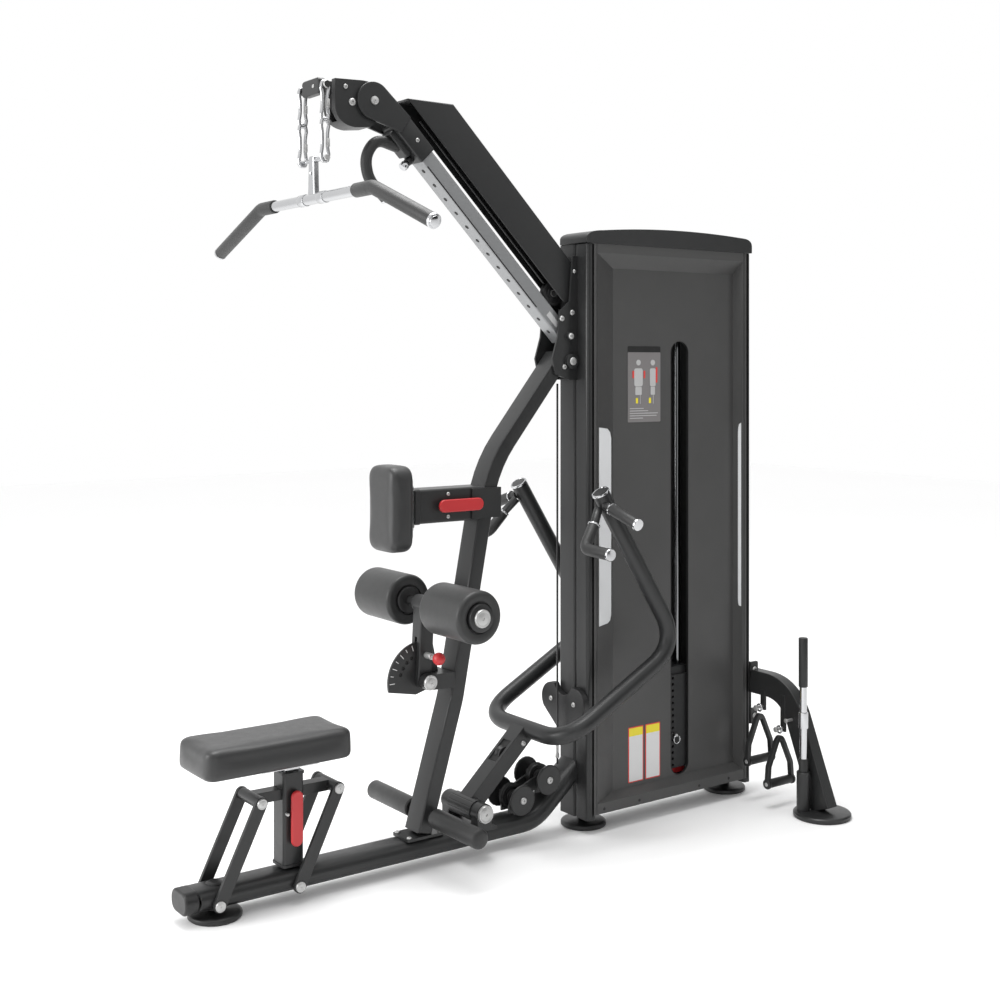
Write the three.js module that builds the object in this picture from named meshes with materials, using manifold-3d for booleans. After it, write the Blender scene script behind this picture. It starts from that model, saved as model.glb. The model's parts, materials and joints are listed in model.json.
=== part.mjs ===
// Lat pulldown and seated row station with a selectorised weight tower. Millimetres, +Z up.
// The origin is the middle of the front foot's floor face. +X runs along the rail to the tower,
// +Y is the machine's left seen from the seat, and the plane Y = 0 is the machine's centre plane.
import * as THREE from 'three';
import { mergeVertices } from 'three/addons/utils/BufferGeometryUtils.js';
import { ConvexGeometry } from 'three/addons/geometries/ConvexGeometry.js';
import Module from 'manifold-3d';

const wasm = await Module();
wasm.setup();

// ---- driving dimensions ----
const GAP = 0.3;                      // air between touching pieces
const RUNNING = 0.6;                  // air around a piece that slides in another
const WALL = 4;                       // thickness of every hollow tube
const RAIL = { start: -72, width: 100, bottom: 32, top: 92 };
const FOOT = { radius: 74, thick: 18 };
const TOWER = { left: 1230, right: 1967, front: -100, back: 45, foot: 45, top: 1890, apex: 1955 };
const COLUMN = { front: -35, width: 60 };
const RECESS = {
  left: 1269, right: 1928, low: 94, high: 1860, depth: 36,
  leftWall: 97, rightWall: 12, lowWall: 18, highWall: 45,     // how far each tapered wall reaches in
};
const WINDOW = { low: 660, high: 1300, cut: 30 };
const SHROUD_LOW = 60;
const SLOT = { left: 1622, right: 1703, low: 114, high: 1580, bend: 39 };
const STACK = {
  x: 1643, halfWidth: 105, front: -52, back: 38, low: 134.8, pitch: 21, resting: 5, lifted: 10,
};
const ROD = { radius: 12, offset: 60, y: -8 };
const BAR_TOP = 110;                  // top of the tower's base bar
const BAR_CEILING = 1830;             // underside of its top bar
const POST = { depth: 50, halfWidth: 40 };
const SLOPE = { x: 1178.5, z: 1612.5 };   // a point on the adjustment tube's axis
const TUBE = { low: -34, high: 846, half: 25, halfY: 30, holes: 14, holeRadius: 6, holePitch: 56 };
const BEAM = { low: 2886, high: 3048, topZ: 2288, halfY: 35, end: 1221 };   // low and high are x + z
const CARRIAGE = { low: 722, high: 862 };  // along the tube
const PIN_AT = 745;                   // the head's pin, along the tube
const HEAD_BOLT = { x: 476, z: 2266 };
const HEAD = { x: 302, z: 2300, linkY: 66 };
const PULLEY = { x: 408, z: 2256, radius: 50 };
const LAT_BAR = {
  x: 302, z: 1973, straight: 330, end: 632, endZ: 1855, radius: 15.5, grip: 20, gripStart: 240,
};
const ARM = { x: 831, z: 145, top: { x: 1190, z: 1102 }, halfY: 212, radius: 27 };
const SEAT = { low: { x: -14, z: 50 }, high: { x: 108, z: 302 }, spread: 240 };
const LINK = { inner: 55, outer: 66, half: 18, axle: 8 };
const CARRIAGE_X = 222;
const CUSHION = { x0: -66, x1: 374, halfY: 103, z0: 393, z1: 472 };
const CHEST = { x0: 523, x1: 600, halfY: 72, z0: 958, z1: 1195, axisZ: 1078,
  sleeve0: 624, sleeve1: 872, sleeveZ: 51, tubeY: 30, tubeZ: 38 };
const THIGH = { x: 676, z: 782, pivotX: 664, pivotZ: 556, radius: 77, inner: 85, outer: 300, axle: 13 };
const PEG = { x: 677, z: 153, end: 296, start: 62, radius: 29, bar: 16 };
const RACK = { x0: 1968, x1: 2012, footX: 1987, footY: -405, barX: 1941, barY: -364 };

const THIGH_PIN = 77;                 // pin hole circle about the roller arm's pivot
const CABLE = { x: 1186, y: 0 };
const HOOK = { end: 1936, radius: 5, at: [[-156, 318], [-248, 262]] };

// ---- looks of each family of pieces ----
const finish = (color, roughness, metalness) => () =>
  new THREE.MeshStandardMaterial({ color, roughness, metalness });
const coat = finish(0x3f4141, 0.55, 0.2);
const panel = finish(0x444646, 0.5, 0.2);
const steel = finish(0xc9cacb, 0.28, 1);
const silver = finish(0xb9bbbd, 0.4, 0.8);
const plastic = finish(0x1c1d1d, 0.5, 0);
const rubber = finish(0x161717, 0.85, 0);
const vinyl = finish(0x202121, 0.6, 0);
const red = finish(0xb3282c, 0.5, 0);
const iron = finish(0x222324, 0.6, 0.4);

const group = new THREE.Group();

// ---- geometry helpers ----
const toSolid = (geometry) => {
  const bare = geometry.clone();
  for (const name of Object.keys(bare.attributes)) {
    if (name !== 'position') bare.deleteAttribute(name);
  }
  const merged = mergeVertices(bare, 1e-4);
  return new wasm.Manifold(new wasm.Mesh({
    numProp: 3,
    vertProperties: new Float32Array(merged.attributes.position.array),
    triVerts: new Uint32Array(merged.index.array),
  }));
};

const toGeometry = (solid) => {
  const mesh = solid.getMesh();
  const geometry = new THREE.BufferGeometry();
  geometry.setAttribute('position', new THREE.BufferAttribute(new Float32Array(mesh.vertProperties), 3));
  geometry.setIndex(new THREE.BufferAttribute(new Uint32Array(mesh.triVerts), 1));
  geometry.computeVertexNormals();
  return geometry;
};

const join = (...pieces) => toGeometry(pieces.map(toSolid).reduce((a, b) => a.add(b)));
const cut = (body, ...tools) => toGeometry(tools.map(toSolid).reduce((a, b) => a.subtract(b), toSolid(body)));

const place = (name, geometry, look, parent = group) => {
  const mesh = new THREE.Mesh(geometry, look());
  mesh.name = name;
  parent.add(mesh);
  return mesh;
};

const box = (x0, x1, y0, y1, z0, z1) => {
  const geometry = new THREE.BoxGeometry(x1 - x0, y1 - y0, z1 - z0);
  geometry.translate((x0 + x1) / 2, (y0 + y1) / 2, (z0 + z1) / 2);
  return geometry;
};

// a round bar from a to b, each [x, y, z]
const sidesOf = (radius) => (radius < 7 ? 8 : radius < 20 ? 12 : 16);
const rod = (a, b, radius, sides = sidesOf(radius)) => {
  const from = new THREE.Vector3(...a);
  const to = new THREE.Vector3(...b);
  const along = to.clone().sub(from);
  const geometry = new THREE.CylinderGeometry(radius, radius, along.length(), sides);
  geometry.applyQuaternion(new THREE.Quaternion().setFromUnitVectors(
    new THREE.Vector3(0, 1, 0), along.clone().normalize()));
  geometry.translate(...from.add(to).multiplyScalar(0.5).toArray());
  return geometry;
};

// a round bar along Y through (x, z)
const pin = (x, z, y0, y1, radius, sides = sidesOf(radius)) => rod([x, y0, z], [x, y1, z], radius, sides);

const shapeOf = (points) => new THREE.Shape(points.map(([x, y]) => new THREE.Vector2(x, y)));

// axes: which way the shape's x, its y and the extrusion run
const AXES = {
  xz: [[1, 0, 0], [0, 0, 1], [0, -1, 0]],
  yz: [[0, 1, 0], [0, 0, 1], [1, 0, 0]],
  xy: [[1, 0, 0], [0, 1, 0], [0, 0, 1]],
};

// an outline in the named plane, thick from low to high across it; the bevel stays inside both
const slab = (plane, outline, low, high, bevel = 0, segments = 1, arcs = 2) => {
  const shape = outline instanceof THREE.Shape ? outline : shapeOf(outline);
  const geometry = new THREE.ExtrudeGeometry(shape, {
    depth: high - low - 2 * bevel,
    bevelEnabled: bevel > 0,
    bevelThickness: bevel,
    bevelSize: bevel,
    bevelOffset: -bevel,
    bevelSegments: segments,
    curveSegments: arcs,
  });
  geometry.translate(0, 0, bevel);
  const axes = AXES[plane].map((axis) => new THREE.Vector3(...axis));
  geometry.applyMatrix4(new THREE.Matrix4().makeBasis(...axes));
  const across = axes[2];
  const start = plane === 'xz' ? -high : low;
  geometry.translate(...across.clone().multiplyScalar(start).toArray());
  return geometry;
};

const roundRect = (x0, x1, y0, y1, radius) => {
  const shape = new THREE.Shape();
  shape.moveTo(x0 + radius, y0);
  shape.lineTo(x1 - radius, y0);
  shape.absarc(x1 - radius, y0 + radius, radius, -Math.PI / 2, 0);
  shape.lineTo(x1, y1 - radius);
  shape.absarc(x1 - radius, y1 - radius, radius, 0, Math.PI / 2);
  shape.lineTo(x0 + radius, y1);
  shape.absarc(x0 + radius, y1 - radius, radius, Math.PI / 2, Math.PI);
  shape.lineTo(x0, y0 + radius);
  shape.absarc(x0 + radius, y0 + radius, radius, Math.PI, 1.5 * Math.PI);
  return shape;
};

// points along a line of corners, each corner rounded with an arc of the given radius
const rounded = (corners, radius, steps = 4) => {
  const points = corners.map((corner) => new THREE.Vector3(...corner));
  const route = [points[0]];
  for (let i = 1; i < points.length - 1; i++) {
    const back = points[i - 1].clone().sub(points[i]);
    const ahead = points[i + 1].clone().sub(points[i]);
    const wanted = radius / Math.tan(back.angleTo(ahead) / 2);
    const reach = Math.min(wanted, back.length() * 0.49, ahead.length() * 0.49);
    const start = points[i].clone().add(back.normalize().multiplyScalar(reach));
    const end = points[i].clone().add(ahead.normalize().multiplyScalar(reach));
    route.push(...new THREE.QuadraticBezierCurve3(start, points[i], end).getPoints(steps));
  }
  route.push(points[points.length - 1]);
  return route;
};

// a flat strip outline of constant width about a rounded centre line, each corner [x, z]
const ribbon = (corners, halfWidth, radius, steps = 5) => {
  const route = rounded(corners.map(([x, z]) => [x, z, 0]), radius, steps);
  const left = [];
  const right = [];
  route.forEach((point, i) => {
    const before = route[Math.max(i - 1, 0)];
    const after = route[Math.min(i + 1, route.length - 1)];
    const along = after.clone().sub(before).normalize();
    left.push([point.x - along.y * halfWidth, point.y + along.x * halfWidth]);
    right.unshift([point.x + along.y * halfWidth, point.y - along.x * halfWidth]);
  });
  return [...left, ...right];
};

// a curve through given points with straight runs, one extrusion step to each stretch
class Route extends THREE.Curve {
  constructor(points) {
    super();
    this.points = points;
  }
  getPoint(t) {
    const at = t * (this.points.length - 1);
    const i = Math.min(Math.floor(at), this.points.length - 2);
    return this.points[i].clone().lerp(this.points[i + 1], at - i);
  }
  getSpacedPoints() {
    return this.points.map((point) => point.clone());
  }
  getTangentAt(u) {
    const i = Math.round(u * (this.points.length - 1));
    const before = this.points[Math.max(i - 1, 0)];
    const after = this.points[Math.min(i + 1, this.points.length - 1)];
    return after.clone().sub(before).normalize();
  }
}

// a round tube through corners [x, y, z]
const pipe = (corners, radius, bend, sides = 12, steps = 3) => {
  const route = new Route(rounded(corners, bend, steps));
  const section = [];
  for (let i = 0; i < sides; i++) {
    const angle = (2 * Math.PI * i) / sides;
    section.push([radius * Math.cos(angle), radius * Math.sin(angle)]);
  }
  return new THREE.ExtrudeGeometry(shapeOf(section), {
    steps: route.points.length - 1, extrudePath: route, bevelEnabled: false,
  });
};

// a turned piece about an axis through at, with profile [radius, height] pairs from the axis to the axis
const turned = (profile, at, direction, sides = 20) => {
  const geometry = new THREE.LatheGeometry(profile.map(([r, h]) => new THREE.Vector2(r, h)), sides);
  geometry.applyQuaternion(new THREE.Quaternion().setFromUnitVectors(
    new THREE.Vector3(0, 1, 0), new THREE.Vector3(...direction).normalize()));
  geometry.translate(...at);
  return geometry;
};

// a disc with bevelled rims, from 0 to height along its direction
const puck = (at, direction, radius, height, soft, sides = 20) => turned([
  [0, 0], [radius - soft, 0], [radius, soft], [radius, height - soft], [radius - soft, height], [0, height],
], at, direction, sides);

const disc = (x, z, radius, sides = 16) => {
  const points = [];
  for (let i = 0; i < sides; i++) {
    const angle = (2 * Math.PI * i) / sides;
    points.push([x + radius * Math.cos(angle), z + radius * Math.sin(angle)]);
  }
  return points;
};

// ---- base rail, feet and front post ----
function baseFrame() {
  const middle = (RAIL.bottom + RAIL.top) / 2;
  const half = (RAIL.top - RAIL.bottom) / 2;
  const line = [[RAIL.start, middle], [1075, middle], [TOWER.left + 20, 206]];
  const rail = slab('xz', ribbon(line, half, 140), -RAIL.width / 2, RAIL.width / 2, 27, 3);
  const axleHole = (x) => pin(x, SEAT.low.z, -60, 60, LINK.axle + 0.5);
  const room = [
    [RAIL.start - 9, RAIL.bottom + WALL], [1000, RAIL.bottom + WALL],
    [1000, RAIL.top - WALL], [RAIL.start - 9, RAIL.top - WALL],
  ];
  const inside = slab('xz', room, WALL - RAIL.width / 2, RAIL.width / 2 - WALL, 22, 2);
  const cap = roundRect(RAIL.start - 34, RAIL.start - GAP, RAIL.bottom - 1, RAIL.top + 1, 15);
  place('rail_end_cap', slab('xz', cap, -RAIL.width / 2 - 1, RAIL.width / 2 + 1, 14, 2), plastic);
  const beyond = box(TOWER.left - GAP, TOWER.left + 60, -60, 60, 100, 300);
  const holes = [axleHole(SEAT.low.x), axleHole(SEAT.low.x + SEAT.spread)];
  place('base_rail', cut(rail, ...holes, beyond, inside), coat);
  const foot = (name, x, y, top) => {
    const seat = top - GAP;
    place(name, turned([
      [0, 0], [FOOT.radius - 3, 0], [FOOT.radius, 3], [FOOT.radius, FOOT.thick - 5],
      [FOOT.radius - 6, FOOT.thick], [16, FOOT.thick], [16, seat], [0, seat],
    ], [x, y, 0], [0, 0, 1], 24), plastic);
  };
  foot('front_foot', 0, 0, RAIL.bottom);
  foot('tower_foot_left', 1294, 0, TOWER.foot);
  foot('tower_foot_right', 1937, 0, TOWER.foot);
}

// the post carries the sleeve of the chest pad's tube and the bar of the foot pegs
function frontPost() {
  const line = [[654, RAIL.top + 11], [770, 490], [903, 1182], [1186, 1528]];
  const post = slab('xz', ribbon(line, POST.depth / 2, 420), -POST.halfWidth, POST.halfWidth, 5);
  const flange = slab('xy', roundRect(590, 722, -45, 45, 10), RAIL.top + GAP, RAIL.top + 8.3, 0);
  const around = roundRect(-41, 41, CHEST.axisZ - CHEST.sleeveZ, CHEST.axisZ + CHEST.sleeveZ, 8);
  const sleeve = slab('yz', around, CHEST.sleeve0, CHEST.sleeve1);
  const cheeks = box(820, 928, -47, 47, CHEST.axisZ - 46, CHEST.axisZ + 46);
  const bore = box(
    CHEST.sleeve0 - 5, CHEST.sleeve1 - 20, -CHEST.tubeY - 1, CHEST.tubeY + 1,
    CHEST.axisZ - CHEST.tubeZ - 1, CHEST.axisZ + CHEST.tubeZ + 1);
  const hollowLine = [[702, 260], [770, 490], [903, 1182], [1200, 1545]];
  const inside = ribbon(hollowLine, POST.depth / 2 - WALL, 420);
  const hollow = slab('xz', inside, WALL - POST.halfWidth, POST.halfWidth - WALL);
  const bar = pin(PEG.x, PEG.z, -PEG.end + 10, PEG.end - 10, PEG.bar);
  place('front_post', cut(join(post, flange, sleeve, cheeks, bar), bore, hollow), coat);
}

// ---- weight tower ----
function towerFrame() {
  const column = (x0, x1) => slab(
    'xy', roundRect(x0, x1, COLUMN.front, TOWER.back, 8), TOWER.foot, TOWER.top - GAP);
  const x0 = TOWER.left + COLUMN.width - 3;
  const x1 = TOWER.right - COLUMN.width + 3;
  const bore = (left) => box(
    left + WALL, left + COLUMN.width - WALL, COLUMN.front + WALL, TOWER.back - WALL,
    TOWER.foot - 5, TOWER.top + 5);
  const columns = cut(
    join(column(TOWER.left, TOWER.left + COLUMN.width), column(TOWER.right - COLUMN.width, TOWER.right)),
    bore(TOWER.left), bore(TOWER.right - COLUMN.width));
  const bar = (z0, z1) => box(x0, x1, -30, 40, z0, z1);
  place('tower_frame', join(columns, bar(50, BAR_TOP), bar(BAR_CEILING, 1880)), coat);
}

function crownCap() {
  const x0 = TOWER.left - 5;
  const x1 = TOWER.right + 5;
  const shape = new THREE.Shape();
  shape.moveTo(x0, TOWER.top);
  shape.lineTo(x1, TOWER.top);
  shape.lineTo(x1, 1918);
  shape.quadraticCurveTo(x1 - 4, 1936, x1 - 40, 1940);
  shape.quadraticCurveTo(1600, 1968, x0 + 70, 1928);
  shape.quadraticCurveTo(x0 + 4, 1922, x0, 1908);
  const cap = slab('xz', shape, TOWER.front - 3, TOWER.back - 8, 3, 1);
  const inside = box(x0 + 6, x1 - 6, TOWER.front + 3, TOWER.back - 14, TOWER.top - 5, TOWER.top + 14);
  place('crown_cap', cut(cap, inside), coat);
}

function frontShroud() {
  const flange = COLUMN.front - GAP;
  const floor = TOWER.front + RECESS.depth;
  const low = SHROUD_LOW;
  const high = TOWER.top - GAP;
  const sheet = slab('xy', roundRect(TOWER.left, TOWER.right, TOWER.front, flange, 9), low, high);
  const edge = (x0, x1) => slab('xy', roundRect(x0, x1, TOWER.front, flange, 9), TOWER.foot, low + 4);
  const body = join(sheet, edge(TOWER.left, RECESS.left - 1), edge(RECESS.right + 8, TOWER.right));
  const corner = (x, y, z) => new THREE.Vector3(x, y, z);
  const mouth = TOWER.front - 10;
  const over = 10 / RECESS.depth;       // the tapered walls run on past the front face
  const well = new ConvexGeometry([
    corner(RECESS.left - RECESS.leftWall * over, mouth, RECESS.low - RECESS.lowWall * over),
    corner(RECESS.right + RECESS.rightWall * over, mouth, RECESS.low - RECESS.lowWall * over),
    corner(RECESS.left - RECESS.leftWall * over, mouth, RECESS.high + RECESS.highWall * over),
    corner(RECESS.right + RECESS.rightWall * over, mouth, RECESS.high + RECESS.highWall * over),
    corner(RECESS.left + RECESS.leftWall, floor, RECESS.low + RECESS.lowWall),
    corner(RECESS.right - RECESS.rightWall, floor, RECESS.low + RECESS.lowWall),
    corner(RECESS.left + RECESS.leftWall, floor, RECESS.high - RECESS.highWall),
    corner(RECESS.right - RECESS.rightWall, floor, RECESS.high - RECESS.highWall),
  ]);
  const hollow = box(TOWER.left + 5, TOWER.right - 5, floor + WALL, flange + 5, low + 6, high - 6);
  const mouthOfSlot = roundRect(SLOT.left, SLOT.right, SLOT.low, SLOT.high, SLOT.bend);
  const slot = slab('xz', mouthOfSlot, TOWER.front, flange + 5);
  const side = (rim, inner, lean) => slab('xz', [
    [rim, WINDOW.low], [inner + lean, WINDOW.low], [inner, WINDOW.low + WINDOW.cut],
    [inner, WINDOW.high - WINDOW.cut], [inner + lean, WINDOW.high], [rim, WINDOW.high],
  ], TOWER.front - 5, flange + 5);
  place('front_shroud', cut(body, well, hollow, slot, side(1281, 1357, -20), side(1933, 1919, 5)), panel);
}

function rearCover() {
  const outer = slab('xy', roundRect(1440, 1780, TOWER.back + GAP, TOWER.back + 48, 12), 300, 1700);
  const inner = box(1446, 1774, TOWER.back - 10, TOWER.back + 42, 290, 1710);
  const tab = (z) => box(
    TOWER.left + COLUMN.width - 20, TOWER.right - COLUMN.width + 20, TOWER.back + GAP, TOWER.back + 6,
    z, z + 40);
  place('rear_cover', join(cut(outer, inner), tab(340), tab(1620)), panel);
}

// ---- weight stack ----
function weightStack() {
  for (const [name, side] of [['guide_rod_left', -1], ['guide_rod_right', 1]]) {
    const x = STACK.x + side * ROD.offset;
    place(name, rod([x, ROD.y, BAR_TOP + GAP], [x, ROD.y, BAR_CEILING - GAP], ROD.radius, 20), steel);
  }
  const holes = (z0, z1) => [-1, 1].map((side) => {
    const x = STACK.x + side * ROD.offset;
    return rod([x, ROD.y, z0], [x, ROD.y, z1], ROD.radius + 1.2, 20);
  });
  // a pile of plates: the outline is notched where one plate ends and the next begins
  const pile = (low, count, top) => {
    const right = [];
    for (let i = 0; i < count; i++) {
      const z = low + i * STACK.pitch;
      right.push([STACK.halfWidth - 2, z], [STACK.halfWidth, z + 2], [STACK.halfWidth, z + STACK.pitch - 2]);
    }
    right.push([STACK.halfWidth - 2, top]);
    const left = right.map(([x, z]) => [-x, z]).reverse();
    const outline = [...right, ...left].map(([x, z]) => [x + STACK.x, z]);
    return slab('xz', outline, STACK.front, STACK.back);
  };
  const pinHoles = (low, count) => Array.from({ length: count }, (_, i) => {
    const z = low + (i + 0.5) * STACK.pitch;
    return pin(STACK.x, z, STACK.front - 1, STACK.front + 26, 5.4, 8);
  });
  const split = STACK.low + STACK.resting * STACK.pitch;
  const top = split + STACK.lifted * STACK.pitch;
  const rest = pile(STACK.low, STACK.resting, split - GAP);
  place('resting_plates', cut(rest, ...holes(100, 300), ...pinHoles(STACK.low, STACK.resting)), iron);
  const block = roundRect(STACK.x - 80, STACK.x + 80, top - 1, top + 26, 6);
  const head = slab('xz', block, STACK.front + 8, STACK.back - 8);
  const lifted = join(pile(split, STACK.lifted, top), head);
  const stem = rod([STACK.x, ROD.y, top + 20], [STACK.x, ROD.y, top + 92], 10, 16);
  const nut = rod([STACK.x, ROD.y, top + 60], [STACK.x, ROD.y, top + 76], 15, 6);
  const drilled = cut(lifted, ...holes(200, 600), ...pinHoles(split, STACK.lifted));
  place('lifted_plates', join(drilled, stem, nut), iron);
  const z = split + 0.5 * STACK.pitch;
  const ring = new THREE.TorusGeometry(12, 3, 6, 14);
  ring.rotateX(Math.PI / 2);
  ring.translate(STACK.x, -72, z - 12);
  place('selector_pin', join(
    pin(STACK.x, z, -76, STACK.front + 25, 4.6, 8), pin(STACK.x, z, -68, -60, 8), ring), steel);
  const pad = slab('xy', roundRect(STACK.x - 88, STACK.x + 88, -34, 18, 24), BAR_TOP + GAP, STACK.low - GAP);
  place('stack_bumper', cut(pad, ...holes(100, 300)), red);
}

// ---- upper bracket, adjustment tube and cable beam ----
const slope = new THREE.Group();      // local +X runs up the tube, local +Z points to its underside
slope.position.set(SLOPE.x, 0, SLOPE.z);
slope.rotation.y = (225 * Math.PI) / 180;
group.add(slope);

function topBracket() {
  const outline = [
    [1140, 1470], [1200, 1452], [1229.7, 1452], [1229.7, 1850], [1210, 1850], [1198, 1705],
    [1158, 1672], [1150, 1590], [1128, 1520],
  ];
  const plate = (y0, y1) => slab('xz', outline, y0, y1);
  const web = box(1222, 1229.7, -48, 48, 1452, 1850);
  const boss = (x, z, radius) => pin(x, z, -58, -47, radius);
  place('top_bracket', join(
    plate(-48, -41), plate(41, 48), web, boss(1204, 1512, 24), boss(1196, 1592, 13)), coat);
}

function adjustTube() {
  const section = roundRect(-TUBE.halfY, TUBE.halfY, -TUBE.half, TUBE.half, 5);
  const bar = slab('yz', section, TUBE.low, TUBE.high);
  const holes = Array.from({ length: TUBE.holes }, (_, i) => {
    const s = PIN_AT - i * TUBE.holePitch;
    return rod([s, 0, TUBE.half - 14], [s, 0, TUBE.half + 3], TUBE.holeRadius, 8);
  });
  const room = roundRect(WALL - TUBE.halfY, TUBE.halfY - WALL, WALL - TUBE.half, TUBE.half - WALL, 3);
  const hollow = slab('yz', room, TUBE.low - 5, TUBE.high + 5);
  place('adjust_tube', cut(bar, hollow, ...holes), silver, slope);
}

function cableBeam() {
  const outer = [
    [BEAM.low - BEAM.topZ, BEAM.topZ], [BEAM.high - BEAM.topZ, BEAM.topZ], [BEAM.end, BEAM.high - BEAM.end],
    [BEAM.end, 1682], [BEAM.low - 1682, 1682],
  ];
  const lid = BEAM.high - 6;
  const inner = [
    [500, BEAM.topZ - 5], [lid - BEAM.topZ + 5, BEAM.topZ - 5], [BEAM.end + 20, lid - BEAM.end - 20],
    [BEAM.end + 20, 1580], [1200, 1580],
  ];
  const inside = BEAM.halfY - WALL;
  const folded = slab('xz', outer, -BEAM.halfY, BEAM.halfY, 3, 1);
  const pulleyX = 1162;
  const pulleyZ = BEAM.low - pulleyX + 6;
  const axle = pin(pulleyX, pulleyZ, -BEAM.halfY + 1, BEAM.halfY - 1, 7);
  place('cable_beam', join(cut(folded, slab('xz', inner, -inside, inside)), axle), coat);
  place('beam_pulley', sheave(pulleyX, pulleyZ, 40, 7.4, 11), plastic);
}

// a grooved wheel on an axis along Y, with a bore
function sheave(x, z, radius, bore, halfWidth) {
  return turned([
    [bore, -halfWidth], [radius, -halfWidth], [radius, -halfWidth + 3], [radius - 8, -3], [radius - 8, 3],
    [radius, halfWidth - 3], [radius, halfWidth], [bore, halfWidth], [bore, -halfWidth],
  ], [x, 0, z], [0, 1, 0], 16);
}

// ---- head carriage, its pulley and the lat bar ----
const local = (s, n, y = 0) => {      // a point up the tube by s and off its axis by n, in the part's frame
  const half = Math.SQRT1_2;
  return [SLOPE.x - (s - n) * half, y, SLOPE.z + (s + n) * half];
};

const hull = (...points) => new ConvexGeometry(points.map((point) => new THREE.Vector3(...point)));

// a block along the tube, from s0 to s1 up it
const prism = (s0, s1, y0, y1, n0, n1) => hull(...[s0, s1].flatMap(
  (s) => [n0, n1].flatMap((n) => [local(s, n, y0), local(s, n, y1)])));

// the room the tube needs to slide, from s0 to s1 up it
function tubeRoom(s0, s1) {
  const halfY = TUBE.halfY + RUNNING;
  const half = TUBE.half + RUNNING;
  return prism(s0, s1, -halfY, halfY, -half, half);
}

function headCarriage() {
  const wall = 7;
  const outY = TUBE.halfY + wall;
  const outN = TUBE.half + wall;
  const sleeve = prism(CARRIAGE.low, CARRIAGE.high, -outY, outY, -outN, outN);
  const bore = tubeRoom(CARRIAGE.low - 5, CARRIAGE.high + 5);
  const block = prism(CARRIAGE.low + 40, CARRIAGE.high - 10, -24, 24, -outN - 20, -outN + 2);
  const cheek = (y0, y1) => {
    const [ax, , az] = local(CARRIAGE.high - 28, -outN + 4);
    const [bx, , bz] = local(CARRIAGE.high - 18, outN - 4);
    const rim = [...disc(HEAD_BOLT.x, HEAD_BOLT.z, 55, 28), [ax, az], [bx, bz]];
    return hull(...rim.flatMap(([x, z]) => [[x, y0, z], [x, y1, z]]));
  };
  const bolt = pin(HEAD_BOLT.x, HEAD_BOLT.z, -46, 46, 9);
  const handle = pipe([
    local(CARRIAGE.low + 75, -outN - 4), [478, 0, 2128], [470, 0, 2052], [562, 0, 2003],
  ], 17, 45, 12, 4);
  const pinHole = rod(local(PIN_AT, -outN - 30), local(PIN_AT, 0), 8, 16);
  const body = join(sleeve, block, handle, cheek(-46, -36), cheek(36, 46));
  place('head_carriage', join(cut(body, bore, pinHole), bolt), coat);
  place('head_pin', join(
    rod(local(PIN_AT, -TUBE.half - 1.2), local(PIN_AT, -outN - 40), 5, 12),
    rod(local(PIN_AT, -outN - 6), local(PIN_AT, -outN - 22), 11, 16),
    rod(local(PIN_AT, -outN - 20), local(PIN_AT, -outN - 44), 14, 20)), steel);
}

function pulleyHousing() {
  const outline = new THREE.Shape();
  outline.moveTo(352, 2318);
  outline.lineTo(352, 2245);
  outline.quadraticCurveTo(354, 2186, 420, 2184);
  outline.lineTo(470, 2190);
  outline.lineTo(520, 2235);
  outline.lineTo(520, 2296);
  outline.quadraticCurveTo(490, 2322, 440, 2322);
  const body = slab('xz', outline, -35, 35, 5, 2);
  const room = slab('xz', [[300, 2330], [300, 2200], [480, 2200], [600, 2210], [600, 2330]], -15, 15);
  const boltHole = pin(HEAD_BOLT.x, HEAD_BOLT.z, -50, 50, 9.4);
  const axle = pin(PULLEY.x, PULLEY.z, -34, 34, 7);
  const tubeWay = tubeRoom(CARRIAGE.high - 60, CARRIAGE.high + 340);
  place('pulley_housing', join(cut(body, room, boltHole, tubeWay), axle), coat);
  place('head_pulley', sheave(PULLEY.x, PULLEY.z, PULLEY.radius, 7.4, 11), plastic);
}

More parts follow.
